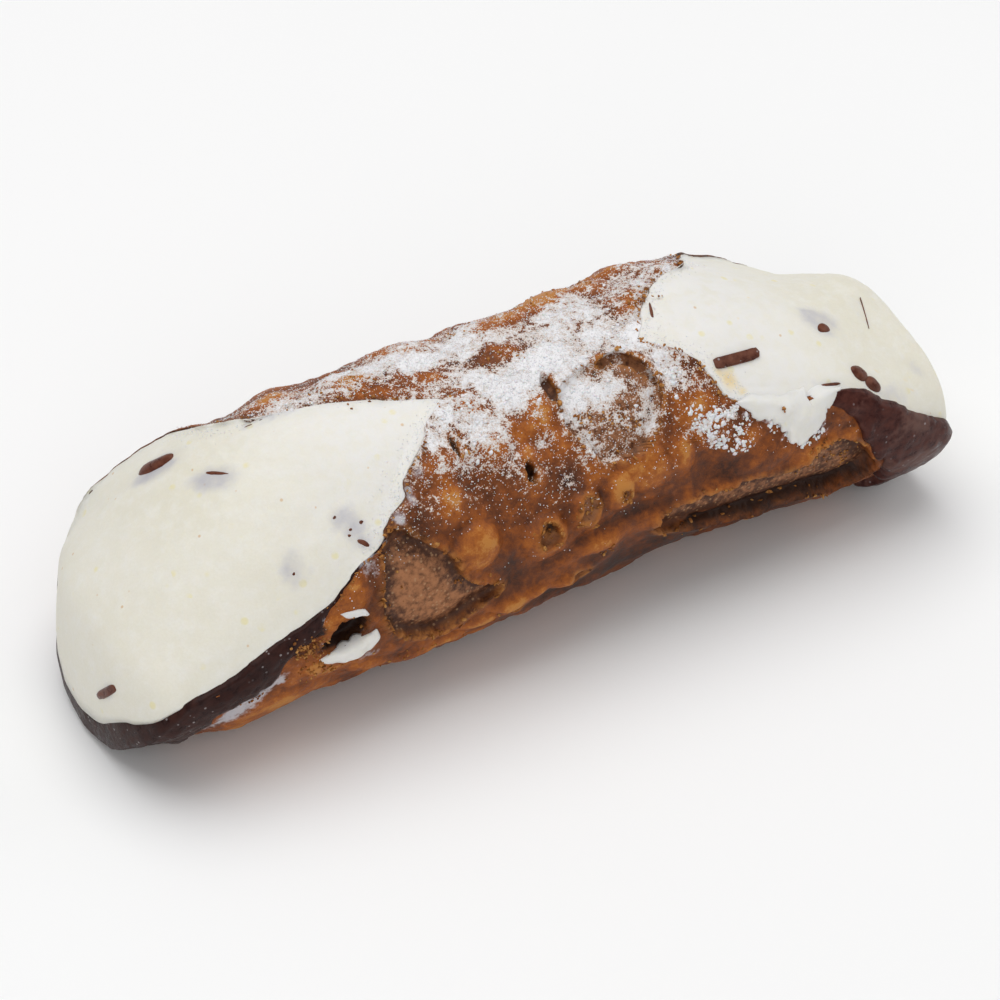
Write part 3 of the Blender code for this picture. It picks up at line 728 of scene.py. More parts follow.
def makePastry():
    angles = shellColumns()
    columns = len(angles)
    leftX, rightX = mouthX("left", angles), mouthX("right", angles)
    x = leftX + (rightX - leftX) * np.linspace(0, 1, pastry["outerRows"])[:, None]
    a = np.broadcast_to(angles, x.shape)
    flatX, flatA = x.ravel(), a.ravel()
    data = relief(flatX, flatA)
    fromMouth = np.minimum(x - leftX, rightX - x).ravel()
    atRim = 1 - smooth(fromMouth / pastry["rimBlend"])
    data["height"] = data["height"] * (1 - atRim) + rimHeight(flatX, flatA) * atRim
    data["moveX"] *= 1 - atRim
    data["moveAngle"] *= 1 - atRim
    outer = skinPoint(flatX, flatA, data=data).reshape(*x.shape, 3)
    wall = tube["rimWall"] + (tube["wall"] - tube["rimWall"]) * smooth(fromMouth / pastry["wallFrom"])
    inner = pastryInside(outer, a, leftX, rightX, wall.reshape(x.shape))
    points = np.concatenate([outer, sealRows(outer[-1], inner[0], 1.0), inner,
                             sealRows(inner[-1], outer[0], -1.0)])

    def skinMask(values, elsewhere=0.0):
        mask = np.full(len(points) * columns, elsewhere)
        mask[:flatX.size] = values
        return mask

    masks = {key: skinMask(data[key]) for key in crustKinds}
    masks["tone"] = skinMask(data["tone"], 0.3)
    masks["rim"] = skinMask(1 - smooth(fromMouth / 0.8), 1.0)
    masks["sugar"] = skinMask(sugarDensity(flatX, flatA) * (1 - 0.5 * data["dark"]))
    seal = len(pastry["sealRows"])
    masks["sugar"][flatX.size:flatX.size + seal * columns] = np.tile(sugarDensity(rightX, angles), seal)
    masks["sugar"][-seal * columns:] = np.tile(sugarDensity(leftX, angles), seal)
    bare = 1 - np.clip(data["chocolate"], 0, 1)
    masks["smudge"] = skinMask(patchAmount(flatX, flatA, creamSmudges) * bare)
    masks["stain"] = skinMask(patchAmount(flatX, flatA, chocolateStains))
    masks["gold"] = skinMask(patchAmount(flatX, flatA, goldAndUndersideShade))
    faces = gridFaces(len(points), columns, closeRows=True)[:, ::-1]
    return points.reshape(-1, 3), faces, masks


def pastryMaterial():
    material, tree, shader = materialBase("fried pastry")
    wide = noiseValue(tree, pastry["blotches"], 3)
    close = noiseValue(tree, pastry["mottling"], 4, 0.65)
    grain = noiseValue(tree, pastry["grain"], 2, 0.7)
    mask = {key: maskValue(tree, key)
            for key in ("tone", *crustKinds, "rim", "sugar", "smudge", "stain", "gold")}
    # the gold mask raises the tone where the crust is paler, and lowers it as painted shade on the lower
    # front
    tone = sums(tree, "ADD", mask["tone"], mask["gold"], ranged(tree, wide, 0.3, 0.7, -0.09, 0.09),
                ranged(tree, close, 0.25, 0.75, -0.15, 0.15), ranged(tree, grain, 0.25, 0.75, -0.06, 0.06))
    crust = rampColour(tree, tone, pastry["rampStops"])

    # the milk floor runs to its darkest colour near its walls: painted shade
    milkTone = sums(tree, "ADD", mask["milk"], ranged(tree, close, 0.25, 0.75, -0.4, 0.4))
    milk = layered(tree, pastry["milkShadeAndMottle"], (ranged(tree, milkTone, 0.35, 1.25), pastry["milkColour"]),
                   (scaled(tree, specks(tree, 1500.0, 0.30), 0.5), pastry["milkSpeck"]))
    speckled = blended(tree, ranged(tree, close, 0.28, 0.55), pastry["milkShadeAndMottle"], pastry["speckledColour"])
    soaked = sums(tree, "ADD", sums(tree, "MAXIMUM", mask["chocolate"], mask["stain"]),
                  ranged(tree, close, 0.3, 0.7, -0.15, 0.15))
    torn = sums(tree, "MULTIPLY", mask["torn"], ranged(tree, close, 0.3, 0.55))
    rimTone = sums(tree, "MULTIPLY", mask["rim"], ranged(tree, wide, 0.4, 0.6, 0.0, 0.7))
    smudge = sums(tree, "ADD", mask["smudge"], ranged(tree, close, 0.3, 0.7, -0.5, 0.3))
    sugar = groupNode(tree, sugarGroup, Density=mask["sugar"])
    colour = layered(tree, crust,
                     (ranged(tree, mask["milk"], 0.12, 0.4), milk),
                     (ranged(tree, mask["speckled"], 0.15, 0.7), speckled),
                     # painted shade: the near-black floors of deep holes and clefts
                     (ranged(tree, mask["dark"], 0.2, 0.7), pastry["holeShadeColour"]),
                     # soaked chocolate, and painted shade in the torn gap
                     (ranged(tree, soaked, 0.3, 0.6), pastry["chocolateAndHoleShade"]),
                     (sums(tree, "MULTIPLY", torn, 0.85, clamp=True), pastry["tornColour"]),
                     (rimTone, pastry["rimColour"]),
                     (ranged(tree, smudge, 0.25, 1.05, 0.0, 0.8), pastry["smudgeColour"]),
                     (sugar.outputs["Mask"], sugar.outputs["Color"]))

    high, low = pastry["roughness"]
    oil = ranged(tree, sums(tree, "ADD", close, scaled(tree, wide, 0.5)), 0.5, 1.0, low, high)
    rough = sums(tree, "MAXIMUM", oil, scaled(tree, sugar.outputs["Mask"], 0.95),
                 scaled(tree, mask["milk"], 0.75))
    height = sums(tree, "ADD", scaled(tree, close, 0.55), scaled(tree, grain, 0.3),
                  scaled(tree, sugar.outputs["Height"], 0.9))
    fill(tree, shader, {"Base Color": colour, "Roughness": rough,
                        "Normal": bumped(tree, height, 0.55, 0.0004), "Specular IOR Level": 0.22,
                        "Coat Weight": pastry["shine"], "Coat Roughness": 0.3})
    return material


points, faces, masks = makePastry()
meshPiece("pastryShell", points, faces, pastryMaterial(), masks, "fried_pastry", "shell")


cream = {
    "columns": 240, "rings": 76, "bodyRows": 14, "bodyRadius": 18.6, "underRim": 1.2,
    "rollPower": 34, "edgePower": 5, "sharpPower": 40,
    "left": {"end": -1.0, "crown": 2.0, "lean": 0.0, "swell": 1.5, "centre": (-46.0, 0.0),
             "bumps": [], "bulge": 0.0},
    "right": {"end": 8.0, "crown": 14.0, "lean": 1.0, "swell": -3.0, "centre": (49.0, -1.0),
              "bumps": [(46, 10, 12, 9, -1.0), (56, 10, 8, 8, -1.4), (65, 2, 4, 5, 1.0)], "bulge": 1.8},
    "waves": (0.22, 15), "strokes": (0.14, 4.5), "curds": (0.05, 1.6),  # height, size
    "crowding": 1.7, "calmReach": 9, "flatFrom": 0.93,
    "colour": (0.80, 0.775, 0.685), "deepColour": (0.765, 0.735, 0.625), "paleColour": (0.83, 0.815, 0.765),
    "dustedColour": (0.80, 0.785, 0.755), "veilColour": (0.47, 0.46, 0.50),
    "grainColour": (0.62, 0.57, 0.44), "zestColour": (0.78, 0.70, 0.30),
    "nutColour": (0.62, 0.36, 0.13), "peelColour": (0.80, 0.62, 0.30),
    "streaks": 42, "curdling": 420, "grain": 2600,  # noise scales
}


def faceTerms(x, y):  # what a gently curved sheet is fitted with
    x, y = x / tube["radius"], y / tube["radius"]
    return np.stack([np.ones_like(x), x, y, x * x, x * y, y * y], -1)


rimInsets = {  # how far inside the skin the cream starts, where chocolate hides the wall's end
    "left": [(0, 0.0), (80, 0.0), (100, 0.3), (110, 0.9), (120, 2.0), (132, 3.0), (150, 3.5), (175, 3.4),
             (196, 2.4), (215, 1.4), (235, 0.9), (252, 0.6), (264, 0.15), (285, 0.3), (312, 0.3), (325, 0.0),
             (360, 0.0)],
    "right": [(0, 0.0), (60, 0.0), (85, 0.3), (98, 0.5), (140, 1.2), (180, 2.0), (240, 0.8), (262, 0.5),
              (300, 0.55), (318, 0.35), (330, 0.0), (360, 0.0)],
}
rimOuts = {  # and how far out of the mouth it bulges there
    "left": [(0, 0.35), (360, 0.35)],
    "right": [(0, 0.35), (80, 0.35), (92, 1.2), (140, 1.5), (200, 0.9), (262, 0.35), (360, 0.35)],
}


def rimInset(side, angle):
    return np.interp(np.mod(angle, 360), *np.array(rimInsets[side]).T)


def roundSmoothed(values, reach):  # averaged round the rim, which closes on itself
    kernel = np.hanning(2 * reach + 1)
    kernel /= kernel.sum()
    return sum(w * np.roll(values, k - reach, axis=0) for k, w in enumerate(kernel))


def creamRim(side, angles, out=None, lift=0.0):  # where the cream meets the skin's edge
    if out is None:
        out = np.interp(np.mod(angles, 360), *np.array(rimOuts[side]).T)
    return rimSpot(side, angles, out, lift - rimInset(side, angles))


def creamFace(side, angles):  # rows of rings, from the middle of the face to its rim
    face = cream[side]
    rim = creamRim(side, angles)
    sides = rim[:, 1] / tube["radius"]
    blunt = face["end"] - face["crown"] * sides ** 2 - face["lean"] * sides
    edge = np.maximum(rim[:, 2], tube["axisHeight"] + blunt)
    terms = faceTerms(rim[:, 0], rim[:, 1])
    sheet = np.linalg.lstsq(terms, edge, rcond=None)[0]
    leftover = edge - terms @ sheet
    k = np.arange(1, cream["rings"] + 1) / cream["rings"]
    ring = (1 - (1 - k) ** cream["crowding"])[:, None]
    calmRim, calmLeftover = (roundSmoothed(values, cream["calmReach"]) for values in (rim, leftover))
    cx, cy = face["centre"]
    sharp = ring ** cream["sharpPower"]
    x = cx + (calmRim[:, 0] - cx) * ring + (rim[:, 0] - calmRim[:, 0]) * sharp
    y = cy + (calmRim[:, 1] - cy) * ring + (rim[:, 1] - calmRim[:, 1]) * sharp
    z = faceTerms(x, y) @ sheet + calmLeftover * ring ** cream["edgePower"]
    z += (leftover - calmLeftover) * sharp + face["swell"] * (1 - ring ** 2)
    for bx, by, along, across, high in face["bumps"]:
        z += high * np.exp(-((x - bx) / along) ** 2 - ((y - by) / across) ** 2)
    flat = np.stack([x.ravel(), y.ravel(), 0 * x.ravel()], 1)
    inside = 1 - smooth(ring, cream["flatFrom"], 1.0)
    stretched = flat * (0.45, 1.0, 1.0)  # the spatula was drawn along the tube
    (waves, waveSize), (strokes, strokeSize), (curds, curdSize) = (
        cream[key] for key in ("waves", "strokes", "curds"))
    marks = waves * softNoise(flat, waveSize, 31) + strokes * softNoise(stretched, strokeSize, 32)
    marks += curds * (softNoise(flat, curdSize, 33) + 0.6 * softNoise(flat, curdSize / 2, 34))
    z += marks.reshape(x.shape) * (0.35 + 0.65 * inside)
    roll = 1 - np.sqrt(1 - np.clip(ring, 0, 1) ** cream["rollPower"])
    z = z * (1 - roll) + rim[:, 2] * roll
    middle = axisHeight(x)
    reach = np.hypot(y - tube["middle"][1], z - middle)
    limit = tubeRadius(x) + 0.5
    over = reach - limit
    squeeze = (limit + 0.5 * (over - np.sqrt(over ** 2 + 1.2))) / reach
    squeeze = squeeze * inside + np.minimum(1.0, limit / reach) * (1 - inside)
    nearRim = smooth(ring, 0.55, 0.92) * (1 - ring ** 14)
    swollen = face["bulge"] * nearRim * smooth(x, 58, 68) * smooth(-y, 6, 17)
    return np.stack([x + swollen, tube["middle"][1] + (y - tube["middle"][1]) * squeeze,
                     middle + (z - middle) * squeeze], -1)


def makeCream():
    angles = np.arange(cream["columns"]) * 360.0 / cream["columns"]
    left, right = creamFace("left", angles), creamFace("right", angles)
    rows = [left, creamRim("left", angles, -0.9, -cream["underRim"])[None]]
    leftX, rightX = mouthX("left", angles), mouthX("right", angles)
    for t in np.linspace(0, 1, cream["bodyRows"]):
        x = leftX + 3 + (rightX - leftX - 6) * t
        rows.append(tubePoint(x, angles, np.full(len(x), cream["bodyRadius"]))[None])
    rows += [creamRim("right", angles, -0.9, -cream["underRim"])[None], right[::-1]]
    points, faces = lathe(np.concatenate(rows))
    return points, [block[:, ::-1] for block in faces]


def creamMaterial():
    material, tree, shader = materialBase("ricotta cream")
    wide = noiseValue(tree, cream["streaks"], 3)
    close = noiseValue(tree, cream["curdling"], 4, 0.6)
    grain = noiseValue(tree, cream["grain"], 3, 0.65)
    dusted = sums(tree, "MULTIPLY", maskValue(tree, "dusted"), ranged(tree, close, 0.3, 0.6, 0.5, 1.0))
    zest = sums(tree, "MULTIPLY", specks(tree, 520.0, 0.07), ranged(tree, close, 0.35, 0.6))
    veil = sums(tree, "ADD", maskValue(tree, "veil"), ranged(tree, close, 0.3, 0.7, -0.12, 0.12))
    colour = layered(tree, cream["deepColour"],
                     (ranged(tree, wide, 0.35, 0.65), cream["colour"]),
                     (ranged(tree, close, 0.4, 0.75, 0.0, 0.6), cream["paleColour"]),
                     (ranged(tree, grain, 0.35, 0.65, 0.0, 0.10), cream["grainColour"]),
                     (dusted, cream["dustedColour"]),
                     (scaled(tree, zest, 0.55), cream["zestColour"]),
                     (scaled(tree, specks(tree, 1250.0, 0.006), 0.60), cream["nutColour"]),
                     (ranged(tree, veil, 0.08, 1.0, 0.0, 0.95), cream["veilColour"]),
                     (ranged(tree, maskValue(tree, "yolk"), 0.1, 1.0, 0.0, 0.8), cream["peelColour"]))
    height = sums(tree, "ADD", scaled(tree, close, 0.7), scaled(tree, grain, 0.25))
    fill(tree, shader, {"Base Color": colour, "Roughness": ranged(tree, close, 0.3, 0.7, 0.42, 0.62),
                        "Normal": bumped(tree, height, 0.35, 0.0004), "Specular IOR Level": 0.35,
                        "Subsurface Weight": 0.25, "Subsurface Radius": (1.0, 0.85, 0.6),
                        "Subsurface Scale": 0.0025})
    return material


# pieces in the cream, placed by plan: x, y (and z if it sits in the end wall), half along, half
# across, turn, how far it shows (a sunk one, below 0, only darkens the cream), veil and boxiness
inCream = [
    (-52.8, 12, None, 3.8, 1.4, -41, 0.48, 0.5, 0), (-53.6, 10.6, None, 3.2, 1.2, -41, -1, 0.8, 0),
    (-49, 0.2, None, 3, 1.5, -45, -1, 0.74, 0), (-48.5, 0.9, None, 2.9, 0.75, -45, 0.1, 0.5, 0),
    (-34.4, -16.2, None, 2, 1.6, -65, -1, 0.62, 0), (-35.9, -14.8, None, 1.1, 1, 0, -1, 0.65, 0),
    (-33.8, -18.3, None, 1.3, 0.6, -60, 0.16, 0.6, 0), (-34.9, -16.5, None, 0.7, 0.5, 20, 0.03, 0.6, 0),
    (-33, -16.3, None, 0.45, 0.35, 0, 0.12, 0.4, 0), (-36.4, -14.4, None, 0.4, 0.3, 30, 0.1, 0.3, 0),
    (-35.4, -17, None, 0.4, 0.35, 0, 0.1, 0.3, 0), (-44.8, -16.8, None, 1.5, 1.4, 40, -1, 0.6, 0),
    (-44.9, -17.3, None, 0.4, 0.35, 40, 0.06, 0.3, 0), (-43.4, -18.2, None, 0.9, 0.5, 10, -1, 0.3, 0),
    (-71.3, -8, 14.6, 3.8, 0.8, 48, 0.35, 0.35, 0.3), (34.3, -13.4, None, 3.9, 0.95, -3, 0.5, 0.1, 0.8),
    (52.8, -8.8, None, 2.9, 2.1, -20, -1, 0.66, 0), (52.9, -10.4, None, 1.9, 1.1, -12, 0.3, 0.5, 0),
    (52.2, -7, None, 1.7, 0.4, -12, -1, 0.6, 0), (63.2, -6.8, None, 3.8, 0.12, 73, 0.06, 0.3, 0.3),
    (62.4, -6.4, None, 2.6, 1, 73, -1, 0.22, 0), (55.1, -17.6, None, 1.9, 1.35, -35, 0.62, 0.25, 0),
    (56.7, -18.9, None, 1.8, 1.4, -35, 0.62, 0.2, 0), (67.4, -16, None, 1.4, 0.9, -30, -1, 0.35, 0),
    (48.4, -19.3, None, 2.2, 0.35, -8, 0.2, 0.45, 0), (60.5, -19.6, None, 3.6, 0.9, 8, -1, 0.35, 0),
    # the thin dark sliver at x 25.7, y -2.4 is painted shade: the pastry lip's shadow on the cream, made as
    # a chocolate piece
    (43, -20.6, None, 0.35, 0.3, 0, 0.1, 0, 0), (25.7, -2.4, None, 1.8, 0.34, 69, 0.2, 0.1, 0),
    (42.4, -6, None, 2, 1, 20, -1, 0.1, 0), (-60, -4, None, 2, 1.6, 20, -1, 0.06, 0),
    (-40.6, 4.9, None, 0.8, 0.2, -16, 0.03, 0.5, 0), (-36.5, 4, None, 3.2, 0.8, -8, -1, 0.45, 0),
    (-38.6, 4.6, None, 0.5, 0.16, -14, 0.03, 0.3, 0), (-21.8, -2, None, 1.6, 0.5, -20, -1, 0.35, 0),
]
creamYellows = [  # candied peel just under the cream: x, y, reach, amount
    (31.6, -15.8, 1.9, 0.95), (30.4, -14.8, 1.1, 0.8), (33, -17.4, 1, 0.9), (43.1, -3.2, 0.35, 0.8),
    (38.5, -7.4, 0.35, 0.7), (46.7, -10, 0.35, 0.7), (43.6, -17.8, 0.35, 0.7), (58.9, -16.8, 0.4, 0.7),
    (64.2, -17.5, 0.5, 0.7), (64.6, -18.9, 0.4, 0.7), (-52, -12, 0.5, 0.3), (-60, 4, 0.6, 0.25),
]


def creamMasks(points):
    veil = np.zeros(len(points))
    yolk = np.zeros(len(points))
    for x, y, z, along, across, turn, shows, amount, _ in inCream:
        c, s = math.cos(math.radians(turn)), math.sin(math.radians(turn))
        dx, dy = points[:, 0] - x, points[:, 1] - y
        here = points[:, 2] > 12
        if z is not None:  # on the end wall, along y and z
            dx, dy = -dy, points[:, 2] - z
            here = np.abs(points[:, 0] - x) < 3
        far = ((dx * c + dy * s) / (along + 0.5)) ** 2 + ((dy * c - dx * s) / (across + 0.5)) ** 2
        veil = np.maximum(veil, amount * np.exp(-far ** 1.5 * 0.7) * here)
    for x, y, reach, amount in creamYellows:
        far = ((points[:, 0] - x) ** 2 + (points[:, 1] - y) ** 2) / reach ** 2
        yolk = np.maximum(yolk, amount * np.exp(-1.5 * far))
    dusted = smooth((points[:, 0] + 50) / 26) * smooth((60 - points[:, 0]) / 24)
    return {"veil": veil, "yolk": yolk, "dusted": dusted}


creamPoints, creamFaces = makeCream()
creamPiece = meshPiece("creamFilling", creamPoints, creamFaces, creamMaterial(), creamMasks(creamPoints),
                       "ricotta_cream", "cream")


# chocolate on the rims: (angle, width of the band) and (angle, thickness); lift makes the right end's
# chocolate a lit copy and the left end's a shaded copy of one chocolate, painted light and shade,
# and the right end's grey patches are partly a painted sheen
dips = {
    "left": {"widths": [(57, 0.3), (66, 0.5), (75, 0.8), (79, 3), (85, 6), (95, 6.8), (112, 8), (134, 9),
                        (180, 5), (235, 3), (256, 0.5)],
             "coats": [(57, 0.7), (130, 0.75), (165, 0.4), (200, 0.25), (256, 0.25)],
             "overRim": 0.35, "towards": (-40, 180), "bloomAndSheen": 0.05, "lift": 0.75},
    "right": {"widths": [(63, 0.4), (67, 3.5), (75, 6), (85, 8), (100, 11), (134, 11), (180, 10),
                         (240, 8), (263, 0.5)],
              "coats": [(63, 0.9), (75, 1.4), (95, 1.8), (150, 1.7), (263, 0.8)],
              "overRim": 0.9, "towards": (36, 180), "bloomAndSheen": 0.8, "lift": 1.7},
}


def makeDip(side):
    dip = dips[side]
    fine = np.linspace(dip["widths"][0][0], dip["widths"][-1][0], 4000)
    rimX = mouthX(side, fine)
    path = np.concatenate([[0], np.cumsum(np.hypot(np.diff(rimX), np.diff(fine) * mmPerDegree))])
    count = int(path[-1] / 0.42)
    angle = np.interp(np.linspace(0, path[-1], count), path, fine)
    x = mouthX(side, angle)
    width = np.interp(angle, *np.array(dip["widths"]).T)
    plain = tubePoint(x, angle, tube["radius"])
    width = width * (1 + 0.16 * softNoise(plain, 5.5, 51) + 0.09 * softNoise(plain, 1.8, 52))
    toX, toArc = dip["towards"][0] - x, (dip["towards"][1] - angle) * mmPerDegree
    long = np.hypot(toX, toArc)
    toX, toArc = toX / long, toArc / long
    across = np.linspace(0, 1, 26) ** 0.9
    endFade = smooth(np.minimum(angle - fine[0], fine[-1] - angle) / 4.0)
    coat = np.interp(angle, *np.array(dip["coats"]).T)
    thickness = coat * np.minimum(1, 0.25 + width / 5.0) * (0.3 + 0.7 * endFade)
    rows, inner = [], []
    for v in across:
        px, pa = x + toX * width * v, angle + toArc * width * v / mmPerDegree
        data = relief(px, pa)
        edge = np.clip((1 - v) * width / (1.2 + 0.8 * thickness), 0, 1)
        soft = np.sqrt(1 - (1 - edge) ** 2)
        ripple = 0.10 * softNoise(tubePoint(px, pa, tube["radius"]), 4, 53)
        top = (thickness * (1 + ripple) + 0.22 - 0.4 * np.clip(data["height"], -0.8, 0.8)) * soft - 0.12
        offRim = smooth(v * width / pastry["rimBlend"])
        height = data["height"] * offRim + rimHeight(px, pa) * (1 - offRim)
        calm = dict(data, height=height, moveX=0 * px, moveAngle=0 * px)
        rows.append(skinPoint(px, pa, top, calm))
        inner.append(skinPoint(px, pa, np.full(len(px), -0.35), calm))
    over = dip["overRim"] * thickness + 0.15
    inset = rimInset(side, angle)
    lips = [rimSpot(side, angle, 0.6 * over, 0.75 * thickness), rimSpot(side, angle, over, 0.35 * thickness),
            rimSpot(side, angle, over, -0.4 * inset), rimSpot(side, angle, 1.1 * over, -0.8 * inset),
            rimSpot(side, angle, 0.6 * over, -inset - 0.3), rimSpot(side, angle, -0.4, -inset - 0.6),
            rimSpot(side, angle, -0.4, -0.7)]
    loop = np.stack(rows[::-1] + lips + inner, 1)  # along the rim, then round the band's own section
    points, faces = lathe(loop)
    return points, [block[:, ::-1] if side == "left" else block for block in faces]


chocolate = {
    "rims": ((0.022, 0.0055, 0.0045), (0.048, 0.0145, 0.0105)),  # dark, warm
    "chips": ((0.074, 0.0208, 0.0132), (0.161, 0.0548, 0.0309)),
    # the grey colour on this line is the chocolate's fat whitening, and on the right rim also a painted
    # sheen
    "bloomAndSheenColour": (0.150, 0.081, 0.066), "dustColour": (0.42, 0.38, 0.38),
    "smearColour": (0.46, 0.45, 0.49),
    "patches": 120, "mottling": 700, "grain": 3000,  # noise scales
    "roughness": (0.24, 0.45),
}


def angleOf(points):
    return np.degrees(np.arctan2(tube["middle"][1] - points[:, 1], points[:, 2] - axisHeight(points[:, 0])))


def chocolateMaterial(name, tones, bloomAndSheenAmount, shine, lift=1.0):
    material, tree, shader = materialBase(name)
    wide = noiseValue(tree, chocolate["patches"], 3)
    close = noiseValue(tree, chocolate["mottling"], 4, 0.6)
    grain = noiseValue(tree, chocolate["grain"], 3, 0.7)
    # lift scales both tones: on the rims it makes lit and shaded copies of one chocolate, painted light and
    # shade
    dark, warm = (tuple(lift * c for c in tone) for tone in chocolate[tones])
    # grey patches of fat whitening, which on the right rim are also a painted sheen
    bloomAndSheen = sums(tree, "ADD", ranged(tree, wide, 0.42, 0.72), ranged(tree, close, 0.3, 0.7, -0.2, 0.2))
    bloomAndSheen = ranged(tree, bloomAndSheen, 0.1, 1.0, 0.0, bloomAndSheenAmount)
    dust = sums(tree, "MULTIPLY", specks(tree, 1700.0, 0.06), ranged(tree, wide, 0.35, 0.65, 0.1, 0.6))
    smear = sums(tree, "ADD", maskValue(tree, "smudge"), ranged(tree, close, 0.3, 0.7, -0.45, 0.2))
    colour = layered(tree, dark, (ranged(tree, close, 0.3, 0.7), warm), (bloomAndSheen, chocolate["bloomAndSheenColour"]),
                     (dust, chocolate["dustColour"]),
                     (ranged(tree, smear, 0.2, 0.8, 0.0, 0.8), chocolate["smearColour"]))
    rough = ranged(tree, close, 0.3, 0.7, *chocolate["roughness"])
    rough = sums(tree, "ADD", rough, scaled(tree, bloomAndSheen, 0.25))
    height = sums(tree, "ADD", close, scaled(tree, grain, 0.25))
    fill(tree, shader, {"Base Color": colour, "Roughness": rough,
                        "Normal": bumped(tree, height, 0.3, 0.0004), "Specular IOR Level": 0.10,
                        "Coat Weight": shine, "Coat Roughness": 0.18})
    return material


for side, dip in dips.items():
    points, faces = makeDip(side)
    smudge = patchAmount(points[:, 0], angleOf(points), creamSmudges)
    material = chocolateMaterial(side + " rim chocolate", "rims", dip["bloomAndSheen"], 0.03, dip["lift"])
    meshPiece(side + "ChocolateRim", points, faces, material, {"smudge": smudge},
              "dark_chocolate", "chocolate_dip_" + side)
print("scene: main foods done")


def roundBlob(level):
    ball = bmesh.new()
    bmesh.ops.create_icosphere(ball, subdivisions=level, radius=1.0)
    points = np.array([v.co for v in ball.verts])
    faces = np.array([[v.index for v in f.verts] for f in ball.faces])
    ball.free()
    return points, faces


def octahedron():
    points = np.array([(1, 0, 0), (0, 1, 0), (-1, 0, 0), (0, -1, 0), (0, 0, 1), (0, 0, -1)], float)
    faces = [(j, (j + 1) % 4, 4) for j in range(4)] + [((j + 1) % 4, j, 5) for j in range(4)]
    return points, np.array(faces)


def plate():  # a thin many-cornered chip, its rim in the middle of its thickness
    corners = 7
    turns = np.linspace(0, 2 * math.pi, corners, endpoint=False)
    rim = np.stack([np.cos(turns), np.sin(turns), 0 * turns], 1)
    points = np.concatenate([rim + (0, 0, 0.5), rim - (0, 0, 0.5), [(0, 0, 0.7), (0, 0, -0.7)]])
    j = np.arange(corners)
    k = (j + 1) % corners
    above, below = 0 * j + 2 * corners, 0 * j + 2 * corners + 1
    faces = [(j, k, above), (k + corners, j + corners, below), (j, j + corners, k),
             (k, j + corners, k + corners)]
    return points, np.concatenate([np.stack(face, 1) for face in faces])


def scattered(unit, spots, normals, sizes, seed, rough=0.3, stretch=0.35, tilt=0.25):
    # copies of one shape at these spots: sizes are (count, 3), across, along and out of the surface
    points, faces = unit
    dice = np.random.RandomState(seed)
    count = len(spots)
    normals = normals + tilt * dice.normal(size=(count, 3))
    normals /= np.linalg.norm(normals, axis=1, keepdims=True)
    side = np.cross(normals, dice.normal(size=(count, 3)))
    side /= np.linalg.norm(side, axis=1, keepdims=True)
    other = np.cross(normals, side)
    bent = 1 + rough * dice.uniform(-1, 1, (count, len(points), 1))
    shapes = points[None] * bent * sizes[:, None, :]
    shapes[..., 0] *= dice.uniform(1 - stretch, 1 + stretch, (count, 1))
    world = (spots[:, None] + shapes[..., :1] * side[:, None] + shapes[..., 1:2] * other[:, None]
             + shapes[..., 2:] * normals[:, None])
    offsets = np.arange(count)[:, None, None] * len(points)
    return world.reshape(-1, 3), (faces[None] + offsets).reshape(-1, 3)


def skinSpots(x, angle, lift=0.0):
    step = 0.25
    spot = skinPoint(x, angle, lift)
    along = skinPoint(x + step, angle, lift) - spot
    around = skinPoint(x, angle + step / mmPerDegree, lift) - spot
    normal = np.cross(around, along)
    normal /= np.linalg.norm(normal, axis=1, keepdims=True) + 1e-9
    away = spot - np.stack([spot[:, 0], 0 * spot[:, 0] + tube["middle"][1], axisHeight(spot[:, 0])], 1)
    normal[(normal * away).sum(1) < 0] *= -1
    return spot, normal


def joined(parts):  # several (points, faces) made one
    points, faces, start = [], [], 0
    for p, f in parts:
        points.append(p)
        faces.append(f + start)
        start += len(p)
    return np.concatenate(points), np.concatenate(faces)


creamTree = BVHTree.FromPolygons([tuple(p) for p in creamPoints],
                                 [tuple(int(i) for i in f) for block in creamFaces for f in block])


# the spot on the cream straight below, or straight in from the end, and which way it faces
def dropOn(tree, x, y, z=None):
    start = Vector((x, y, 90.0)) if z is None else Vector((math.copysign(120, x), y, z))
    towards = Vector((0, 0, -1)) if z is None else Vector((-x, 0, 0)).normalized()
    spot, normal, _, _ = tree.ray_cast(start, towards)
    if spot is None:
        return None
    outward = normal.z if z is None else normal.x * math.copysign(1, x)
    return np.array(spot), np.array(normal) * math.copysign(1, outward)


# sugar that stands up: fine grains, lumps, and heaps of lumps as (x, angle, along, round, count)
sugarBits = {
    "grains": 14000, "grainSize": (0.05, 0.13), "lumps": 1500, "lumpSize": (0.14, 0.46),
    "rightLumps": [(24.4, 58, 2, 1.4, 46), (26.7, 57, 1.6, 1, 30), (27.1, 67, 1.4, 1.2, 30),
                   (30.2, 65, 1.2, 0.8, 20), (30.4, 72, 1.6, 0.8, 22), (23.4, 52, 1, 1, 16),
                   (29.4, 57, 1.8, 1, 30), (25.4, 62, 1, 1, 16), (22.6, 36, 1.4, 2.2, 26),
                   (37.2, 68.5, 1.6, 0.8, 26), (39.6, 74.5, 1.6, 0.8, 26), (42, 80.5, 1.6, 0.7, 22),
                   (44.8, 79.5, 1, 0.8, 14), (34, 62.5, 2.4, 0.7, 24)],
    "onCream": 500,
    "colour": (0.87, 0.865, 0.885), "shade": (0.73, 0.70, 0.71),
}


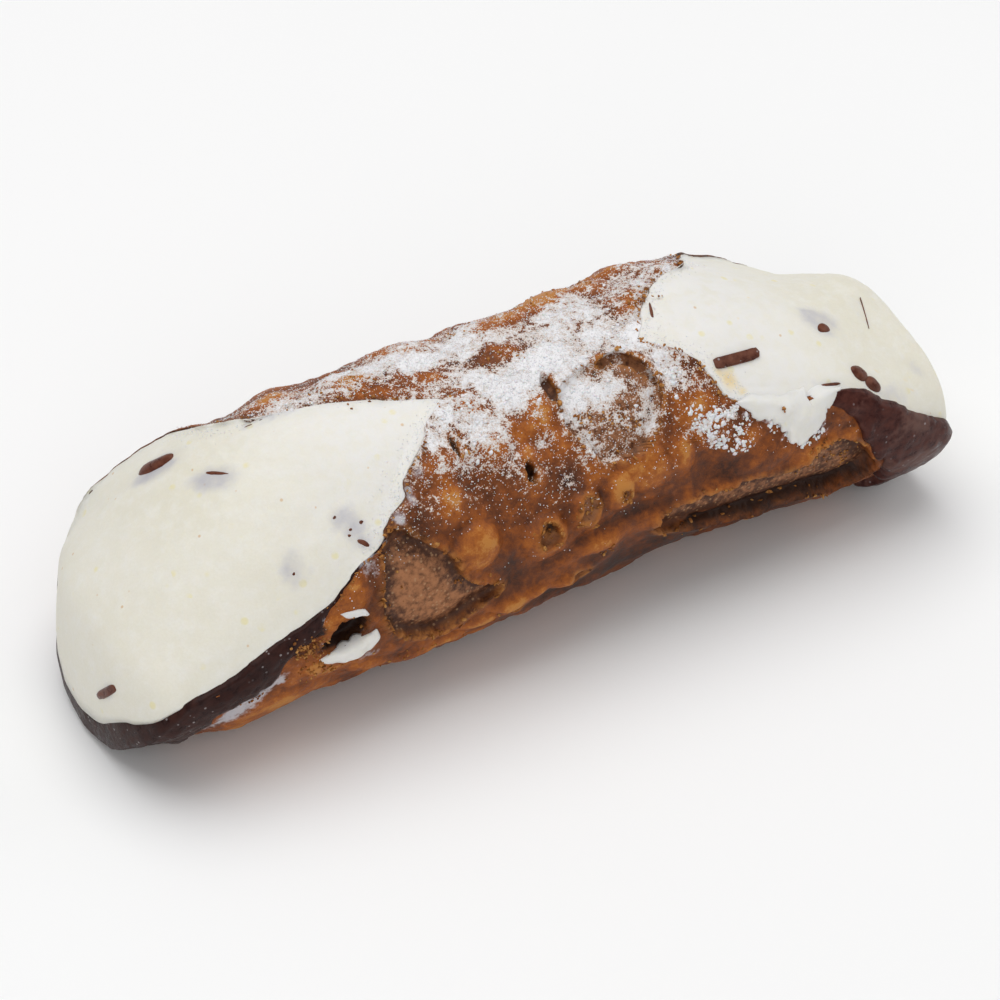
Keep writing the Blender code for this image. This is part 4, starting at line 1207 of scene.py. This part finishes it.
def pickBySugar(count, power, seed, least):
    dice = np.random.RandomState(seed)
    tries = count * 14
    x, angle = dice.uniform(-62, 62, tries), dice.uniform(-80, 122, tries)
    density = sugarDensity(x, angle)
    keep = dice.rand(tries) < np.clip(density - least, 0, 1) ** power
    keep &= (x > mouthX("left", angle) + 0.3) & (x < mouthX("right", angle) - 0.3)
    return x[keep][:count], angle[keep][:count]


def sugarMaterial():
    material, tree, shader = materialBase("powdered sugar")
    close = noiseValue(tree, 2500, 3, 0.6)
    colour = blended(tree, ranged(tree, close, 0.3, 0.7), sugarBits["shade"], sugarBits["colour"])
    fill(tree, shader, {"Base Color": colour, "Roughness": ranged(tree, close, 0.3, 0.7, 0.8, 1.0),
                        "Normal": bumped(tree, close, 0.4, 0.0002),
                        "Subsurface Weight": 0.15, "Subsurface Scale": 0.0005})
    return material


def makeSugar():
    dice = np.random.RandomState(71)
    x, angle = pickBySugar(sugarBits["grains"], 1.15, 72, 0.03)
    spot, normal = skinSpots(x, angle, 0.03)
    size = dice.uniform(*sugarBits["grainSize"], (len(x), 1)) * np.ones((1, 3))
    grains = scattered(octahedron(), spot, normal, size, 73, 0.2, 0.3, 0.6)
    x, angle = pickBySugar(sugarBits["lumps"], 2.2, 74, 0.38)
    dice = np.random.RandomState(75)
    for cx, ca, along, around, count in sugarBits["rightLumps"]:
        x = np.append(x, cx + along * 0.6 * dice.normal(size=count))
        angle = np.append(angle, ca + around * 0.6 / mmPerDegree * dice.normal(size=count))
    spot, normal = skinSpots(x, angle, 0.0)
    size = dice.uniform(*sugarBits["lumpSize"], (len(x), 1)) * (1, 0.85, 0.5)
    lumps = scattered(roundBlob(1), spot, normal, size, 76, 0.35, 0.4, 0.2)
    found = []
    for side, sign in (("left", -1.0), ("right", 1.0)):
        angle = dice.uniform(-45, 62, sugarBits["onCream"])
        x = mouthX(side, angle) + sign * (0.3 + np.abs(2.2 * dice.normal(size=len(angle))))
        plain = tubePoint(x, angle, tube["radius"])
        found += [dropOn(creamTree, px, py) for px, py in plain[:, :2]]
    found = [pair for pair in found if pair]
    spot, normal = (np.array(column) for column in zip(*found))
    size = dice.uniform(*sugarBits["grainSize"], (len(spot), 1)) * np.ones((1, 3))
    onCream = scattered(octahedron(), spot + 0.03 * normal, normal, size, 77, 0.2, 0.3, 0.6)
    return joined([grains, onCream]), lumps


sugarWhite = sugarMaterial()
grains, lumps = makeSugar()
meshPiece("sugarGrains", *grains, sugarWhite, shadeSmooth=False)
meshPiece("sugarLumps", *lumps, sugarWhite, shadeSmooth=False)


# torn pastry: little shards on the edges of the broken blisters, and loose crumbs, whose heaps are
# (x, angle, along, round, count) and, where they lie higher, how high
crustBits = {
    "shardSize": (0.2, 0.62), "crumbSize": (0.10, 0.34),
    "shardsPerMm": {"bigBlister": 0.6, "basin": 0.5, "basinArc": 0.5, "longHollow": 0.3, "tornGap": 0.5,
                    "craterOne": 1.0, "craterTwo": 1.2, "craterThree": 1.4, "backOne": 0.5, "backTwo": 0.5},
    "heaps": [(-46.4, 88.5, 2, 1.6, 60, 0.7), (-45.6, 92, 1.6, 1.2, 30, 0.5),
              (38.7, 64, 0.3, 0.3, 6, 1), (-44.5, 100, 2.8, 2.2, 40), (-41, 108, 4, 1.4, 34),
              (-54.5, 108, 3, 1.4, 26), (40, 117, 8, 0.9, 16), (24, 109, 7, 0.8, 10),
              (-24, 115, 8, 0.8, 16), (-19, 87, 3, 0.6, 14), (-13.5, 35.5, 1.6, 1.6, 16),
              (9.5, 42, 2, 1.2, 14), (13, 45, 3, 2.5, 22), (6.6, 40, 1.6, 1.6, 14),
              (2.9, 74.5, 1.6, 1.8, 20), (-4.6, 77, 1.8, 2, 18), (9.5, 73.5, 0.8, 0.8, 8),
              (50, 101, 3, 1.4, 16), (42.6, 96, 1, 1.6, 10), (-30, 80, 2, 8, 8), (5, 97, 3, 1, 10),
              (-12, 112, 6, 1.4, 12), (-24, -10, 5, 3, 26), (-2, -26, 6, 3, 20), (12, -34, 6, 3, 14),
              (22, -30, 6, 4, 12), (24, -1, 4, 2, 24), (0, 4, 4, 2, 20), (42.8, 97, 0.8, 2, 16),
              (52, 105, 1.4, 2, 8), (46.5, 85.5, 4, 0.6, 20), (61, 104, 2.5, 1.4, 18)],
    "rimCrumbs": 110,
    "colours": [(0.0, (0.13, 0.040, 0.010)), (0.5, (0.34, 0.130, 0.028)), (1.0, (0.56, 0.29, 0.09))],
}


def crustMaterial():
    material, tree, shader = materialBase("torn crust")
    close = noiseValue(tree, 2200, 3, 0.6)
    tone = sums(tree, "ADD", noiseValue(tree, 420, 2), scaled(tree, sums(tree, "SUBTRACT", close, 0.5), 0.8))
    colour = rampColour(tree, ranged(tree, tone, 0.2, 0.8), crustBits["colours"])
    fill(tree, shader, {"Base Color": colour, "Roughness": ranged(tree, close, 0.3, 0.7, 0.55, 0.8),
                        "Normal": bumped(tree, close, 0.5, 0.0003), "Specular IOR Level": 0.2})
    return material


def makeCrust():
    dice = np.random.RandomState(81)
    xs, angles = [], []
    for crater, line in zip(craters, craterLines):
        closed = np.vstack([line, line[:1]])
        path = np.concatenate([[0], np.cumsum(np.linalg.norm(np.diff(closed, axis=0), axis=1))])
        count = int(path[-1] * crustBits["shardsPerMm"].get(crater["name"], 0))
        at = dice.uniform(0, path[-1], count)
        xs.append(np.interp(at, path, closed[:, 0]) + 0.22 * dice.normal(size=count))
        angles.append((np.interp(at, path, closed[:, 1]) + 0.22 * dice.normal(size=count)) / mmPerDegree)
    x, angle = np.concatenate(xs), np.concatenate(angles)
    spot, normal = skinSpots(x, angle, 0.05)
    size = dice.uniform(*crustBits["shardSize"], (len(x), 1)) * (1, 0.6, 0.22)
    shards = scattered(plate(), spot, normal, size, 82, 0.3, 0.4, 0.55)
    xs, angles, lifts = [], [], []
    for cx, ca, along, around, count, *lift in crustBits["heaps"]:
        lifts.append(np.full(count, lift[0] if lift else 0.05))
        xs.append(cx + 0.6 * along * dice.normal(size=count))
        angles.append(ca + 0.6 * around / mmPerDegree * dice.normal(size=count))
    for side, sign in (("left", 1.0), ("right", -1.0)):
        angle = dice.uniform(-36, 80, crustBits["rimCrumbs"])
        angles.append(angle)
        xs.append(mouthX(side, angle) + sign * np.abs(0.5 * dice.normal(size=len(angle))))
        lifts.append(np.full(len(angle), 0.05))
    x, angle = np.concatenate(xs), np.concatenate(angles)
    spot, normal = skinSpots(x, angle, np.concatenate(lifts))
    size = dice.uniform(*crustBits["crumbSize"], (len(x), 1)) * (1, 0.8, 0.6)
    crumbs = scattered(roundBlob(1), spot, normal, size, 83, 0.35, 0.4, 0.4)
    return joined([shards, crumbs])


points, faces = makeCrust()
meshPiece("tornCrust", points, faces, crustMaterial(), None, "fried_pastry", shadeSmooth=False)


# chocolate pieces that show in the cream
def makeDrops():
    parts = []
    for i, (x, y, z, along, across, turn, shows, _, boxy) in enumerate(inCream):
        found = dropOn(creamTree, x, y, z)
        if shows <= 0 or found is None:
            continue
        spot, normal = found
        c, s = math.cos(math.radians(turn)), math.sin(math.radians(turn))
        side = np.array([c, s, 0.0]) if z is None else np.array([0.0, -c, s])
        side -= normal * side.dot(normal)
        side /= np.linalg.norm(side)
        other = np.cross(normal, side)
        ball, faces = roundBlob(3)
        bent = np.sign(ball) * np.abs(ball) ** (1 - boxy)
        bent = bent * (1 + 0.12 * softNoise(ball + 7.0 * i, 0.7, 91))[:, None]
        thick = min(across, 0.9)
        middleSpot = spot + normal * (shows - thick)
        parts.append((middleSpot + bent[:, :1] * along * side + bent[:, 1:2] * across * other
                      + bent[:, 2:] * thick * normal, faces))
    return joined(parts)


points, faces = makeDrops()
material = chocolateMaterial("milky chocolate", "chips", 0.20, 0.10)
meshPiece("chocolateDrops", points, faces, material, None, "dark_chocolate")


# cream that ran over the rims: a line of (x, angle, half width, height) on the skin, how ragged its
# lower edge is, and how far its upper edge sinks into the cream that it came from
creamRuns = [
    {"ragged": 1.0, "sinks": 1.1,
     "line": [(31.2, 55, 0.7, 0.25), (34.6, 59.2, 1.5, 0.5), (38, 64.4, 2.3, 0.8), (41.2, 69.6, 3.4, 0.95),
              (43.8, 70.6, 3.1, 0.9), (46.2, 67, 2, 0.6), (49.5, 64.6, 0.8, 0.25)]},
    {"ragged": 0.5, "sinks": 0.0,
     "line": [(-43.8, 98.4, 0.4, 0.3), (-42.2, 99.4, 1.1, 0.6), (-40.2, 99.8, 1.5, 0.9),
              (-38.2, 99.4, 1.7, 1.1), (-36.2, 97.6, 1.6, 1.1), (-34.9, 95.4, 1.2, 0.8),
              (-34.2, 92.6, 0.5, 0.3)]},
    {"ragged": 0.5, "sinks": 0.0,
     "line": [(-40.2, 79.4, 0.3, 0.2), (-38.6, 80.8, 0.6, 0.35), (-36.8, 82, 0.8, 0.45),
              (-35.4, 84, 0.4, 0.2)]},
]


def makeCreamRun(run, i):
    path = np.array(run["line"]) * (1, mmPerDegree, 1, 1)
    knots = np.vstack([2 * path[0] - path[1], path, 2 * path[-1] - path[-2]])
    line = np.vstack([curveThrough(knots, 14), path[-1:]])
    ahead = np.gradient(line[:, :2], axis=0)
    ahead /= np.linalg.norm(ahead, axis=1, keepdims=True)
    sideways = np.stack([-ahead[:, 1], ahead[:, 0]], 1)
    turns = np.linspace(0, 2 * math.pi, 28, endpoint=False)
    across, up = np.cos(turns), np.sin(turns)
    fromEnd = np.minimum(np.arange(len(line)), np.arange(len(line))[::-1])
    ends = np.sqrt(np.clip(fromEnd / 10.0, 0.02, 1))[:, None]
    wavy = np.stack([line[:, 0], line[:, 1], 0 * line[:, 0] + 9.0 * i], 1)
    uneven = run["ragged"] * (0.25 * softNoise(wavy, 1.6, 93) + 0.18 * softNoise(wavy, 0.6, 94))
    edge = 1 + uneven[:, None] * (across > 0) + 0.35 * run["sinks"] * (across < 0) * np.abs(across)
    half = line[:, 2:3] * ends
    spot = line[:, None, :2] + sideways[:, None] * (half * across * edge)[..., None]
    x, angle = spot[..., 0].ravel(), spot[..., 1].ravel() / mmPerDegree
    high = line[:, 3:4] * ends * np.clip(up, 0, 1) ** 0.7
    high = (high - run["sinks"] * smooth(-across, 0.4, 1.0)).ravel()
    high = high * (1 + 0.3 * softNoise(tubePoint(x, angle, tube["radius"]), 1.8, 95))
    high += np.tile(np.where(up > 0, 0.0, -0.45 * np.abs(up)), len(line))
    base = relief(x, angle)
    soft = dict(base, height=0.55 * base["height"] + 0.1, moveX=0 * x, moveAngle=0 * x)
    points, blocks = lathe(skinPoint(x, angle, high, soft).reshape(len(line), len(turns), 3))
    return points, np.concatenate([blocks[0][:, :3], blocks[0][:, [2, 3, 0]], *blocks[1:]])


points, faces = joined([makeCreamRun(run, i) for i, run in enumerate(creamRuns)])
meshPiece("creamRuns", points, faces, creamPiece.data.materials[0],
          {"dusted": np.full(len(points), 0.9)}, "ricotta_cream")
print("scene: small things done")


view = {"azimuth": -30.0, "elevation": 40.0, "distance": 0.62, "lens": 143.3, "sensor": 36.0,
        "aimFromMiddle": (-0.00182, -0.00333, -0.00373)}
room = {
    "glow": 0.40, "lightsAimAt": (0, 0, 0.02), "floorReach": 3, "floorRoughness": 0.9,
    "floorColours": ((0.93, 0.93, 0.93), (0.95, 0.95, 0.95)),
    "lights": [  # where each soft box hangs over the food, its side and power
        {"name": "overhead", "at": (-0.05, 0.12, 0.75), "side": 0.80, "watts": 3.95},
        {"name": "frontFill", "at": (-0.45, -0.70, 0.45), "side": 0.70, "watts": 1.6},
        {"name": "rightFill", "at": (0.75, -0.10, 0.35), "side": 0.50, "watts": 1.0},
    ],
}


def placed(name, data, where, towards):  # a camera or lamp, turned to look along this way
    thing = bpy.data.objects.new(name, data)
    thing.location = where
    thing.rotation_euler = towards.to_track_quat("-Z", "Y").to_euler()
    bpy.context.scene.collection.objects.link(thing)
    return thing


middle = (Vector(cadBox[0]) + Vector(cadBox[1])) / 2
az, el = math.radians(view["azimuth"]), math.radians(view["elevation"])
back = Vector((math.sin(az) * math.cos(el), -math.cos(az) * math.cos(el), math.sin(el)))
cameraData = bpy.data.cameras.new("camera")
cameraData.lens = view["lens"]
cameraData.sensor_width = view["sensor"]
cameraData.clip_start = 0.01
at = middle + Vector(view["aimFromMiddle"]) + back * view["distance"]
bpy.context.scene.camera = placed("camera", cameraData, at, -back)

for light in room["lights"]:
    data = bpy.data.lights.new(light["name"], "AREA")
    data.size = light["side"]
    data.energy = light["watts"]
    placed(light["name"], data, light["at"], Vector(room["lightsAimAt"]) - Vector(light["at"]))

world = bpy.data.worlds.new("soft room")
world.use_nodes = True
fill(world.node_tree, world.node_tree.nodes["Background"],
     {"Color": (1.0, 1.0, 1.0, 1.0), "Strength": room["glow"]})
bpy.context.scene.world = world
bpy.context.scene.view_settings.view_transform = "Standard"
bpy.context.scene.view_settings.look = "None"

floorMaterial, floorTree, floorShader = materialBase("pale floor")
paper = blended(floorTree, noiseValue(floorTree, 8, 2), *room["floorColours"])
fill(floorTree, floorShader, {"Base Color": paper, "Roughness": room["floorRoughness"]})
floorMesh = bpy.data.meshes.new("floor")
far = room["floorReach"]
floorMesh.from_pydata([(-far, -far, 0), (far, -far, 0), (far, far, 0), (-far, far, 0)], [], [(0, 1, 2, 3)])
floorMesh.materials.append(floorMaterial)
floor = bpy.data.objects.new("floor", floorMesh)
bpy.context.scene.collection.objects.link(floor)
print("scene: camera, lights and floor done")
